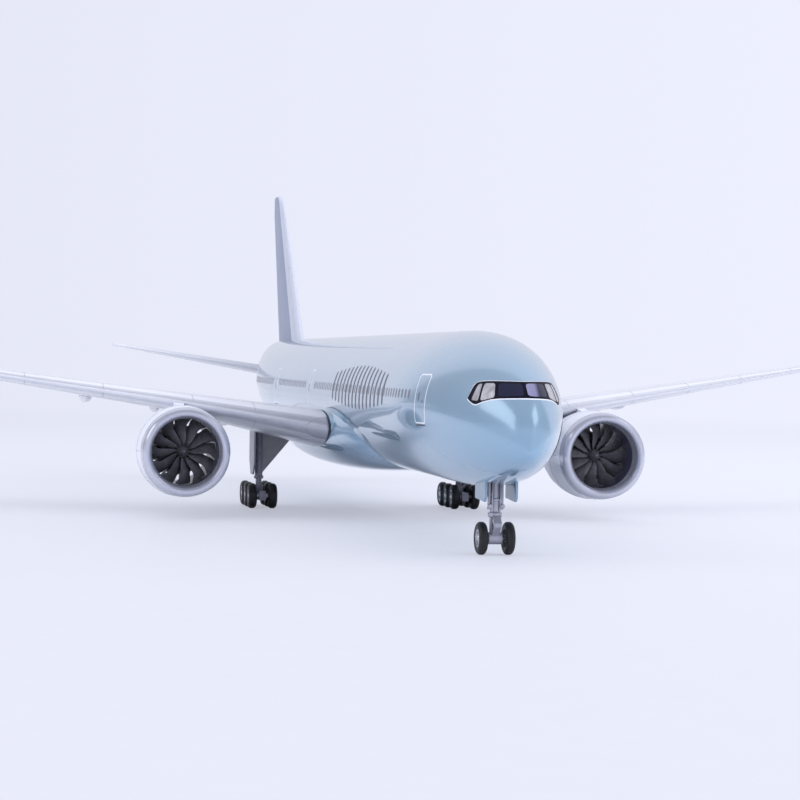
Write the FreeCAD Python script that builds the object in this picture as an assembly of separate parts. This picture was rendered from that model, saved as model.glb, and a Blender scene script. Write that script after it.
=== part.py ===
"""Desktop model of a wide-body twin-jet airliner, on its own rolling landing gear.

+X is the left (port) side, +Y points aft, +Z is up, and the tyres stand on Z = 0.
The model is a 1:157 reduction, so its shape is given in metres of the full-size aircraft
and m() turns those into millimetres of the model. A station is a distance aft of the nose tip.
"""
import FreeCAD
import Part
import math
import os
from FreeCAD import Vector

SCALE = 157.0                    # full-size length over model length


def m(metres):
    """Model millimetres for a length in metres on the full-size aircraft."""
    return metres * 1000.0 / SCALE


OVERALL_LENGTH = 73.86           # nose tip to stabiliser tip, full-size metres

# Fuselage, full-size metres; heights are relative to its centre line
BODY_RADIUS = 3.10
NOSE_TIP_HEIGHT = -1.42
TAIL_START = 49.0
TAIL_END = 73.08
TAIL_BLADE = 0.10                # half-width of the tail cone's closing edge
TAIL_BOTTOM_END = 0.85
TAIL_TOP_START = 60.0
TAIL_TOP_DROP = 1.05
CENTRE_HEIGHT = 5.61             # of the centre line over the ground at the nose tip
CENTRE_SLOPE = 0.006             # the model sits slightly nose down
WALL = 0.25
POD_MIDDLE = 35.5                # station where the belly block bulges most
POD_FRONT = 15.5                 # its reach forward and aft of there
POD_BACK = 12.0

# Wing, full-size metres
WING_ROOT_SPAN = 3.35
WING_ROOT_EDGE = 25.9            # station of the leading edge at the root
WING_EDGE_SLOPE = 0.68
WING_ROOT_HEIGHT = 4.55          # of the leading edge over the ground
WING_DIHEDRAL = 0.135
WING_ROOT_DROP = 0.20            # the wing inboard of the kink sags below the line of its dihedral
WING_INBOARD_SPAN = 1.2          # where the root is buried in the belly block
WING_KINK_SPAN = 10.2
WING_RAKE_SPAN = 28.6
WING_TIP_SPAN = 32.4
LAMP_HALF_WIDTH = 1.0            # landing-light lens, an ellipse seen from the front
LAMP_HALF_HEIGHT = 0.52
LAMP_DEPTH = 1.7

# Engines, full-size metres
ENGINE_SPAN = 10.09
ENGINE_HEIGHT = 3.15
INLET_STATION = 25.75
LIP_OUTER_RADIUS = 2.06
LIP_INNER_RADIUS = 1.62
LIP_DEPTH = 0.75
NOZZLE_STATION = 31.9
FAN_STATION = 27.75              # front face of the fan disc
FAN_RADIUS = 1.59
BLADES = 12
BLADE_HALF_THICKNESS_MM = 0.15

# Landing gear, full-size metres except where the name says MM
NOSE_GEAR_STATION = 5.60
NOSE_TYRE_RADIUS = 0.64
NOSE_TYRE_WIDTH = 0.36
NOSE_TRACK = 0.54                # wheel centre from the centre line
MAIN_GEAR_SPAN = 5.30
MAIN_AXLE_STATION = 35.60        # front axle of each bogie
AXLE_PITCH = 1.48
MAIN_TYRE_RADIUS = 0.64
MAIN_TYRE_WIDTH = 0.44
MAIN_TRACK = 0.52                # wheel centre from the middle of the bogie
AXLE_RADIUS_MM = 0.80
RUNNING_CLEARANCE_MM = 0.06

# Mount for a display stand
SOCKET_RADIUS_MM = 2.0
SOCKET_DEPTH_MM = 12.0
SOCKET_STATION = 33.4

SPAR_ROD_RADIUS_MM = 1.5
SPAR_STATIONS = (31.0, 35.0)
SPAR_HALF_SPAN = 5.5
TAIL_ROD_RADIUS_MM = 0.8
TAIL_ROD_HALF_SPAN = 3.4

SIDES = (("left", 1), ("right", -1))
X_AXIS = Vector(1, 0, 0)
Y_AXIS = Vector(0, 1, 0)
Z_AXIS = Vector(0, 0, 1)
ORIGIN = Vector(0, 0, 0)


# ---------------------------------------------------------------- helpers

def along(station):
    """Y of a station."""
    return m(station - OVERALL_LENGTH / 2.0)


def centre_line(station):
    """Height of the fuselage centre line over the ground, full-size metres."""
    return CENTRE_HEIGHT + CENTRE_SLOPE * station


def point(span, station, height):
    """Model point from full-size span, station and height over the ground."""
    return Vector(m(span), along(station), m(height))


def mirrored(shape):
    return shape.mirror(ORIGIN, X_AXIS)


def on_side(shape, sign):
    """The port shape itself, or its mirror image for starboard."""
    return shape if sign > 0 else mirrored(shape)


def box(low, high):
    """Box between two full-size (span, station, height) corners."""
    a, b = point(*low), point(*high)
    return Part.makeBox(b.x - a.x, b.y - a.y, b.z - a.z, a)


def rod(radius, start, end):
    """Cylinder of a radius in mm between two model points."""
    return Part.makeCylinder(radius, (end - start).Length, start, end - start)


def polygon_prism(corners, direction):
    wire = Part.makePolygon(list(corners) + [corners[0]])
    return Part.Face(wire).extrude(direction)


def revolve_y(profile, centre):
    """Turn a closed (radius, station) outline in full-size metres about a fore-and-aft axis."""
    corners = [centre + Vector(m(r), along(s), 0) for r, s in profile]
    face = Part.Face(Part.makePolygon(corners + [corners[0]]))
    return face.revolve(centre, Y_AXIS, 360)


def spline(points):
    curve = Part.BSplineCurve()
    curve.interpolate(points)
    return curve.toShape()


def close_half(rows):
    """Solid between a half skin, given as rows of points from keel to crown, and the plane X = 0."""
    surface = Part.BSplineSurface()
    surface.interpolate(rows)
    skin = surface.toShape()
    keel = spline_edge(skin, [row[0] for row in rows])
    crown = spline_edge(skin, [row[-1] for row in rows])
    front = spline_edge(skin, rows[0])
    back = spline_edge(skin, rows[-1])
    front_line = Part.makeLine(rows[0][0], rows[0][-1])
    back_line = Part.makeLine(rows[-1][0], rows[-1][-1])
    faces = [skin,
             Part.Face(Part.Wire(Part.__sortEdges__([keel, back_line, crown, front_line]))),
             Part.Face(Part.Wire(Part.__sortEdges__([front, front_line]))),
             Part.Face(Part.Wire(Part.__sortEdges__([back, back_line])))]
    shell = Part.makeShell(faces)
    shell.sewShape()
    solid = Part.Solid(shell)
    if solid.Volume < 0:
        solid.reverse()
    return solid


def spline_edge(skin, points):
    """The boundary edge of a skin that runs through the given points."""
    middle = points[len(points) // 2]
    return min(skin.Edges, key=lambda e: e.distToShape(Part.Vertex(middle))[0]
               + e.distToShape(Part.Vertex(points[1]))[0])


def whole(half):
    """Both halves of a symmetric solid in one piece."""
    return half.fuse(mirrored(half)).removeSplitter()


# ---------------------------------------------------------------- fuselage

def bluntness(station, length, power, root):
    """0 at the nose tip, rising to 1 where the taper of this length ends."""
    reach = max(0.0, 1.0 - station / length)
    return (1.0 - reach ** power) ** (1.0 / root)


def body_section(station):
    """Half-width, crown, keel and waist height of the fuselage, relative to its centre line."""
    keel_growth = bluntness(station, 9.49, 2.07, 1.88)
    half_width = BODY_RADIUS * bluntness(station, 11.53, 1.93, 1.74)
    crown = NOSE_TIP_HEIGHT + (BODY_RADIUS - NOSE_TIP_HEIGHT) * bluntness(station, 10.66, 2.48, 2.12)
    keel = NOSE_TIP_HEIGHT - (BODY_RADIUS + NOSE_TIP_HEIGHT) * keel_growth
    waist = NOSE_TIP_HEIGHT * (1.0 - keel_growth)
    if station > TAIL_START:
        reach = (station - TAIL_START) / (TAIL_END - TAIL_START)
        half_width = BODY_RADIUS * (1.0 - reach ** 2) ** 0.8 + TAIL_BLADE * reach
        lift = 1.5 * reach ** 2 if reach < 0.42 else 0.2646 + 1.268 * (reach - 0.42)
        keel = -BODY_RADIUS + (BODY_RADIUS + TAIL_BOTTOM_END) * min(lift, 1.0)
        waist = 0.5 * (TAIL_BOTTOM_END + BODY_RADIUS - TAIL_TOP_DROP) * lift
    if station > TAIL_TOP_START:
        reach = (station - TAIL_TOP_START) / (TAIL_END - TAIL_TOP_START)
        crown = BODY_RADIUS - TAIL_TOP_DROP * reach ** 5
    return half_width, crown, keel, waist


def body_half(first, last, inset):
    """Port half of the fuselage, with its skin moved inwards by a full-size inset."""
    nose = [first + (12.0 - first) * (i / 21.0) ** 2.0 for i in range(22)]
    barrel = [16.0, 24.0, 32.0, 40.0, 46.0]
    tail = [49.0 + (last - 49.0) * i / 15.0 for i in range(16)]
    rows = []
    for station in nose + barrel + tail:
        half_width, crown, keel, waist = body_section(station)
        row = []
        for i in range(17):
            angle = math.radians(-90.0 + 180.0 * i / 16.0)
            rise = (crown - waist if angle > 0 else waist - keel) - inset
            span = 0.0 if i in (0, 16) else (half_width - inset) * math.cos(angle)
            row.append(point(span, station, centre_line(station) + waist + rise * math.sin(angle)))
        rows.append(row)
    return close_half(rows)


def pod_section(station):
    """Half-width, crown, keel and waist height of the belly block, relative to the centre line."""
    reach = (station - POD_MIDDLE) / (POD_FRONT if station < POD_MIDDLE else POD_BACK)
    fullness = math.sqrt(max(0.0, 1.0 - reach ** 2))
    return 1.5 + 2.3 * fullness, -1.0 + 1.3 * fullness, -2.55 - 1.05 * fullness, -1.65


def pod_half():
    """Port half of the bulged belly block under the wing."""
    rows = []
    for i in range(21):
        reach = math.sin(math.radians(-90.0 + 9.0 * i))
        station = POD_MIDDLE + reach * (POD_FRONT if reach < 0 else POD_BACK)
        half_width, crown, keel, waist = pod_section(station)
        row = []
        for j in range(17):
            angle = math.radians(-90.0 + 180.0 * j / 16.0)
            rise = crown - waist if angle > 0 else waist - keel
            span = 0.0 if j in (0, 16) else half_width * math.cos(angle) ** 0.8
            row.append(point(span, station, centre_line(station) + waist + rise * math.sin(angle)))
        rows.append(row)
    return close_half(rows)


BODY = body_half(0.0005, TAIL_END, 0.0)
CAVITY = body_half(0.9, 70.0, WALL)
POD = whole(pod_half())


def window_band():
    """Prism across the nose that the wrap-round flight-deck windows occupy."""
    outline = ((0.2, 6.15), (1.5, 6.06), (2.3, 5.87), (2.88, 6.07), (2.72, 6.69), (0.2, 6.75))
    return polygon_prism([point(-2.5, s, z) for s, z in outline], X_AXIS * m(5.0))


def gear_bay():
    """Opening in the keel that the nose gear stands in."""
    return box((-0.46, 4.6, 1.5), (0.46, 6.5, 3.6))


# ---------------------------------------------------------------- lifting surfaces

def aerofoil(span, edge, height, chord, thickness, incidence, vertical=False):
    """Closed outline of a wing section; thickness is a share of the chord, incidence in degrees."""
    steps = [0.5 * (1 - math.cos(math.pi * i / 10.0)) for i in range(11)]
    upper, lower = [], []
    turn = math.radians(incidence)
    for x in steps:
        half = 5 * thickness * (0.2969 * math.sqrt(x) - 0.1260 * x - 0.3516 * x ** 2
                                + 0.2843 * x ** 3 - 0.1015 * x ** 4) * chord
        half = max(half, 0.0) + 0.012 * x
        camber = 0.06 * thickness * chord * 4 * x * (1 - x)
        for side, outline in ((1, upper), (-1, lower)):
            aft, rise = x * chord, camber + side * half
            station = edge + aft * math.cos(turn) + rise * math.sin(turn)
            level = height - aft * math.sin(turn) + rise * math.cos(turn)
            if vertical:
                outline.append(point(side * half, edge + aft, height))
            else:
                outline.append(point(span, station, level))
    return Part.Wire([spline(upper), Part.makeLine(upper[-1], lower[-1]), spline(lower[::-1])])


def wing_edge(span):
    return WING_ROOT_EDGE + WING_EDGE_SLOPE * (span - WING_ROOT_SPAN)


def wing_height(span):
    sag = WING_ROOT_DROP * max(0.0, (WING_KINK_SPAN - span) / (WING_KINK_SPAN - WING_ROOT_SPAN))
    return WING_ROOT_HEIGHT + WING_DIHEDRAL * (span - WING_ROOT_SPAN) - sag


def wing_sections():
    """Outlines of the port wing from inside the belly block to the raked tip."""
    # span, station of the leading edge, chord, thickness ratio, incidence
    sections = [(WING_INBOARD_SPAN, wing_edge(WING_INBOARD_SPAN), 15.2, 0.135, 2.5),
                (WING_ROOT_SPAN, wing_edge(WING_ROOT_SPAN), 13.6, 0.135, 2.4),
                (WING_KINK_SPAN, wing_edge(WING_KINK_SPAN), 9.0, 0.108, 1.2),
                (19.4, wing_edge(19.4), 5.9, 0.100, 0.4),
                (WING_RAKE_SPAN, wing_edge(WING_RAKE_SPAN), 2.80, 0.095, -0.4)]
    rake = WING_TIP_SPAN - WING_RAKE_SPAN
    for share in (0.35, 0.65, 0.88, 1.0):
        edge = wing_edge(WING_RAKE_SPAN) + rake * (0.75 * share + 0.45 * share ** 2)
        chord = 2.80 - 2.40 * share ** 1.5
        sections.append((WING_RAKE_SPAN + rake * share, edge, chord, 0.095, -0.5))
    wires = []
    for span, edge, chord, ratio, incidence in sections:
        wires.append(aerofoil(span, edge, wing_height(span), chord, ratio, incidence))
    return wires


def stabiliser_solid():
    # span, station of the leading edge, height, chord
    sections = ((0.6, 61.9, 7.03, 7.9), (2.2, 63.3, 7.25, 7.2), (9.9, 70.0, 8.55, 3.15),
                (10.5, 70.65, 8.65, 2.85), (10.76, 71.35, 8.69, 2.50))
    wires = [aerofoil(b, edge, z, chord, 0.08, 0.0) for b, edge, z, chord in sections]
    return Part.makeLoft(wires, True, True)


def fin_solid():
    # height, station of the leading edge, chord
    sections = ((8.2, 58.6, 10.6), (9.2, 59.7, 9.7), (17.5, 68.0, 4.75), (18.3, 69.0, 3.75),
                (18.6, 69.75, 3.00), (18.70, 70.5, 2.20))
    wires = [aerofoil(0.0, edge, z, chord, 0.095, 0.0, vertical=True) for z, edge, chord in sections]
    return Part.makeLoft(wires, True, True)


def lamp_region():
    """Elliptic plug through the wing-root leading edge that the landing-light lens fills."""
    centre = point(WING_ROOT_SPAN, WING_ROOT_EDGE + LAMP_DEPTH, wing_height(WING_ROOT_SPAN))
    outline = Part.Ellipse(centre, m(LAMP_HALF_WIDTH), m(LAMP_HALF_HEIGHT)).toShape()
    outline.rotate(centre, X_AXIS, 90)
    return Part.Face(Part.Wire([outline])).extrude(-Y_AXIS * m(2 * LAMP_DEPTH))


def fairing_bulbs():
    """Port flap-track fairings: pointed bodies hung under the trailing edge."""
    # span, station of the nose, length, radius, height of the axis
    places = ((7.2, 34.8, 5.2, 0.34, 4.52), (10.7, 35.8, 4.4, 0.24, 5.06), (14.2, 36.6, 4.5, 0.33, 5.59))
    bulbs = []
    for span, nose, length, radius, height in places:
        outline = [Vector(0, 0, 0)]
        for i in range(1, 24):
            share = i / 24.0
            swell = math.sin(math.pi * share ** 0.8) ** 0.75
            outline.append(Vector(m(radius * swell), m(length * share), 0))
        outline.append(Vector(0, m(length), 0))
        body = Part.Face(Part.makePolygon(outline + [outline[0]])).revolve(ORIGIN, Y_AXIS, 360)
        body.translate(point(span, nose, height))
        bulbs.append(body)
    return bulbs


# ---------------------------------------------------------------- engines

ENGINE_AXIS = point(ENGINE_SPAN, OVERALL_LENGTH / 2.0, ENGINE_HEIGHT)   # a point of the axis at Y = 0


def engine_ring(profile):
    return revolve_y(profile, ENGINE_AXIS)


def inlet_lip():
    """Polished ring with a rounded front."""
    middle = (LIP_OUTER_RADIUS + LIP_INNER_RADIUS) / 2
    swell = (LIP_OUTER_RADIUS - LIP_INNER_RADIUS) / 2
    nose = 1.5 * swell               # the rounding reaches further aft than it is wide
    back = INLET_STATION + LIP_DEPTH
    profile = []
    for degrees in range(0, 181, 15):
        angle = math.radians(degrees)
        profile.append((middle - swell * math.cos(angle), INLET_STATION + nose * (1 - math.sin(angle))))
    return engine_ring(profile + [(LIP_OUTER_RADIUS + 0.05, back), (LIP_INNER_RADIUS - 0.05, back)])


def inlet_duct():
    start = INLET_STATION + LIP_DEPTH
    end = FAN_STATION + 0.55
    inner, outer = 1.57, 1.70
    return engine_ring([(inner, start), (outer, start), (outer + 0.06, end), (inner + 0.05, end),
                        (inner + 0.05, FAN_STATION - 0.3)])


def cowl_outline():
    """(radius, station) of the nacelle's outer skin, from the lip joint to the nozzle."""
    start = INLET_STATION + LIP_DEPTH
    outline = []
    for i in range(13):
        u = i / 12.0
        swell = 0.07 * math.sin(math.pi * min(1.0, 1.25 * u))
        taper = 0.92 * max(0.0, u - 0.35) ** 1.6
        outline.append((LIP_OUTER_RADIUS + 0.05 + swell - taper, start + (NOZZLE_STATION - start) * u))
    return outline


def cowl():
    outer = cowl_outline()
    start, end = outer[0][1], outer[-1][1]
    inner = [(outer[-1][0] - 0.10, end), (1.70, 29.6), (1.76, FAN_STATION + 0.55), (1.70, start)]
    return engine_ring(outer + inner)


def nacelle_bulk():
    """Everything inside the nacelle's outer skin, lip included."""
    return engine_ring([(0, INLET_STATION), (LIP_OUTER_RADIUS, INLET_STATION)] + cowl_outline()
                       + [(0, NOZZLE_STATION)])


def core():
    """Core cowl with the guide vanes that carry it inside the nacelle."""
    front = FAN_STATION + 0.62
    body = engine_ring([(0, front), (0.70, front), (0.95, front + 0.5), (1.22, 30.2), (1.18, 31.9),
                        (0.80, 33.9), (0.66, 33.9), (0.66, 33.5), (0, 33.5)])
    vanes = []
    for i in range(10):
        vane = Part.makeBox(m(0.12), m(1.3), m(1.3), Vector(-m(0.06), along(front + 0.25), m(0.6)))
        vane.rotate(ORIGIN, Y_AXIS, 36.0 * i)
        vane.translate(Vector(ENGINE_AXIS.x, 0, ENGINE_AXIS.z))
        vanes.append(vane)
    return body.multiFuse(vanes)


def exhaust_plug():
    return engine_ring([(0, 33.5), (0.66, 33.5), (0.60, 34.1), (0.36, 34.9), (0.08, 35.4), (0, 35.4)])


def fan():
    """Disc, spinner and twisted blades, bored for the axle."""
    hub = engine_ring([(0, FAN_STATION - 0.55), (0.10, FAN_STATION - 0.46), (0.22, FAN_STATION - 0.20),
                       (0.29, FAN_STATION), (0.32, FAN_STATION + 0.50), (0, FAN_STATION + 0.50)])
    blades = []
    for i in range(BLADES):
        root = blade_section(0.22, 0.36, 30.0)
        middle = blade_section(0.90, 0.60, 45.0)
        tip = blade_section(FAN_RADIUS, 0.80, 58.0)
        blade = Part.makeLoft([root, middle, tip], True, True)
        blade.rotate(ORIGIN, Y_AXIS, 360.0 * i / BLADES)
        blade.translate(Vector(ENGINE_AXIS.x, along(FAN_STATION + 0.25), ENGINE_AXIS.z))
        blades.append(blade)
    rotor = hub.multiFuse(blades)
    bore = fan_bore(AXLE_RADIUS_MM + RUNNING_CLEARANCE_MM, FAN_STATION - 0.15, FAN_STATION + 1.0)
    return rotor.cut(bore)


def blade_section(radius, chord, stagger):
    """Thin lens across the blade at a radius; stagger is its turn from the engine axis in degrees."""
    half, thick = m(chord) / 2, BLADE_HALF_THICKNESS_MM
    turn = math.radians(stagger)
    ring = [(-half, 0), (0, thick), (half, 0), (0, -thick)]
    sine, cosine = math.sin(turn), math.cos(turn)
    corners = [Vector(a * sine + b * cosine, a * cosine - b * sine, m(radius)) for a, b in ring]
    return Part.makePolygon(corners + [corners[0]])


def fan_bore(radius, start, end):
    low = Vector(ENGINE_AXIS.x, along(start), ENGINE_AXIS.z)
    high = Vector(ENGINE_AXIS.x, along(end), ENGINE_AXIS.z)
    return rod(radius, low, high)


def pylon_blank():
    """Plate between nacelle and wing before it is trimmed to both."""
    half = 0.24
    outline = ((28.3, 4.9), (29.6, 5.30), (30.9, 5.46), (31.5, 5.62), (36.2, 5.45), (35.2, 4.75),
               (32.6, 4.55))
    corners = [point(ENGINE_SPAN - half, s, z) for s, z in outline]
    plate = polygon_prism(corners, X_AXIS * m(2 * half))
    plan = [point(ENGINE_SPAN + b, s, 4.4) for b, s in
            ((0.0, 28.3), (0.12, 28.7), (half, 30.3), (half, 36.4), (-half, 36.4), (-half, 30.3), (-0.12, 28.7))]
    return plate.common(polygon_prism(plan, Z_AXIS * m(1.6)))


# ---------------------------------------------------------------- landing gear

def tyre(centre, radius, bore, width):
    """Ring with rounded shoulders on an axis along X; sizes in mm."""
    shoulder = width * 0.42
    half = width / 2
    arc = [math.radians(a) for a in range(0, 91, 15)]
    right = [(half - shoulder * (1 - math.cos(a)), radius - shoulder * (1 - math.sin(a))) for a in arc]
    left = [(-x, r) for x, r in reversed(right)]
    outline = [(half * 0.84, bore)] + right + left + [(-half * 0.84, bore)]
    corners = [centre + Vector(x, 0, r) for x, r in outline]
    return Part.Face(Part.makePolygon(corners + [corners[0]])).revolve(centre, X_AXIS, 360)


def axle_hubs(middle, track, hub_radius, width):
    """Two dished hubs moulded on one axle; sizes in mm."""
    half = width / 2
    dish, rim = half * 0.35, hub_radius * 0.78
    outline = [(0, 0), (0, AXLE_RADIUS_MM), (track - half, AXLE_RADIUS_MM), (track - half, hub_radius),
               (track + half, hub_radius), (track + half, rim), (track + half - dish, rim * 0.8),
               (track + half - dish, AXLE_RADIUS_MM), (track + half, AXLE_RADIUS_MM * 0.8), (track + half, 0)]
    corners = [middle + Vector(x, 0, r) for x, r in outline]
    right = Part.Face(Part.makePolygon(corners + [corners[0]])).revolve(middle, X_AXIS, 360)
    left = right.mirror(middle, X_AXIS)
    return right.fuse(left).removeSplitter()


def wheel_set(span, station, tyre_radius, track, width):
    """Axle with hubs, and its two tyres."""
    middle = point(span, station, tyre_radius)
    hub_radius = m(tyre_radius) * 0.56
    hubs = axle_hubs(middle, m(track), hub_radius, m(width) * 0.84)
    tyres = [tyre(middle + Vector(sign * m(track), 0, 0), m(tyre_radius), hub_radius, m(width))
             for sign in (-1, 1)]
    return hubs, Part.makeCompound(tyres)


def axle_hole(span, station, tyre_radius, half_length):
    middle = point(span, station, tyre_radius)
    reach = X_AXIS * half_length
    return rod(AXLE_RADIUS_MM + RUNNING_CLEARANCE_MM, middle - reach, middle + reach)


def nose_leg():
    """Strut in its ladder frame, with the steering collar and the axle boss."""
    s, b = NOSE_GEAR_STATION, 0.0
    strut = rod(m(0.15), point(b, s, 0.62), point(b, s, 3.75))
    sleeve = rod(m(0.20), point(b, s, 1.60), point(b, s, 3.40))
    collar = rod(m(0.28), point(b, s, 1.46), point(b, s, 1.64))
    boss = rod(m(0.24), point(-0.28, s, NOSE_TYRE_RADIUS), point(0.28, s, NOSE_TYRE_RADIUS))
    frame = []
    for low in (-0.30, 0.21):
        frame.append(box((low, s - 0.14, 1.76), (low + 0.09, s + 0.06, 2.95)))
    for height in (1.76, 2.30, 2.83):
        frame.append(box((-0.30, s - 0.10, height), (0.30, s + 0.04, height + 0.12)))
    leg = strut.multiFuse([sleeve, collar, boss] + frame)
    return leg.cut(axle_hole(0.0, s, NOSE_TYRE_RADIUS, 3.0))


def nose_brace():
    """Forked drag brace behind the strut, and the torque links in front of it."""
    s = NOSE_GEAR_STATION
    arms = [rod(m(0.075), point(b, s + 0.10, 2.02), point(b, s + 1.25, 3.30)) for b in (-0.17, 0.17)]
    cross = rod(m(0.085), point(-0.25, s + 0.20, 2.10), point(0.25, s + 0.20, 2.10))
    half = 0.15
    upper_outline = ((s - 0.20, 1.62), (s - 0.20, 1.47), (s - 0.50, 1.14), (s - 0.58, 1.25))
    lower_outline = ((s - 0.58, 1.25), (s - 0.50, 1.09), (s - 0.18, 0.76), (s - 0.12, 0.90))
    upper = polygon_prism([point(-half, t, z) for t, z in upper_outline], X_AXIS * m(2 * half))
    lower = polygon_prism([point(-half, t, z) for t, z in lower_outline], X_AXIS * m(2 * half))
    return arms, cross, upper.fuse(lower)


def nose_door():
    """Port door, hung straight down beside the bay."""
    outline = ((4.55, 3.02), (6.30, 2.84), (6.30, 2.18), (4.72, 2.10), (4.55, 2.28))
    return polygon_prism([point(0.56, s, z) for s, z in outline], X_AXIS * m(0.09))


def main_leg():
    """Strut with the bogie pivot fork at its foot."""
    s = MAIN_AXLE_STATION + AXLE_PITCH
    b = MAIN_GEAR_SPAN
    strut = rod(m(0.15), point(b, s, 0.95), point(b, s, 4.25))
    sleeve = rod(m(0.20), point(b, s, 1.55), point(b, s, 3.85))
    shoulder = rod(m(0.25), point(b, s, 1.42), point(b, s, 1.56))
    pad = box((b - 0.20, s - 0.30, 0.86), (b + 0.20, s + 0.30, 1.10))
    return strut.multiFuse([sleeve, shoulder, pad])


def main_brace():
    """Wide triangular web that holds the leg sideways."""
    s = MAIN_AXLE_STATION + AXLE_PITCH
    b = MAIN_GEAR_SPAN
    outline = ((b, 1.56), (b, 4.4), (3.95, 4.4), (3.95, 3.72), (3.72, 3.46))
    return polygon_prism([point(x, s - 0.10, z) for x, z in outline], Y_AXIS * m(0.20))


def main_door():
    """Shield fixed close to the outer side of the leg."""
    s = MAIN_AXLE_STATION + AXLE_PITCH
    b = MAIN_GEAR_SPAN
    outline = ((s - 1.0, 4.4), (s + 1.0, 4.3), (s + 1.0, 2.4), (s + 0.40, 1.68), (s - 0.50, 1.68),
               (s - 1.0, 2.2))
    return polygon_prism([point(b + 0.30, t, z) for t, z in outline], X_AXIS * m(0.08))


def bogie_beam():
    first, last = MAIN_AXLE_STATION, MAIN_AXLE_STATION + 2 * AXLE_PITCH
    b, z = MAIN_GEAR_SPAN, MAIN_TYRE_RADIUS
    beam = box((b - 0.17, first - 0.28, z - 0.22), (b + 0.17, last + 0.28, z + 0.22))
    for i in range(3):
        beam = beam.cut(axle_hole(b, first + i * AXLE_PITCH, z, 3.0))
    return beam


# ---------------------------------------------------------------- assembly

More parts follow.
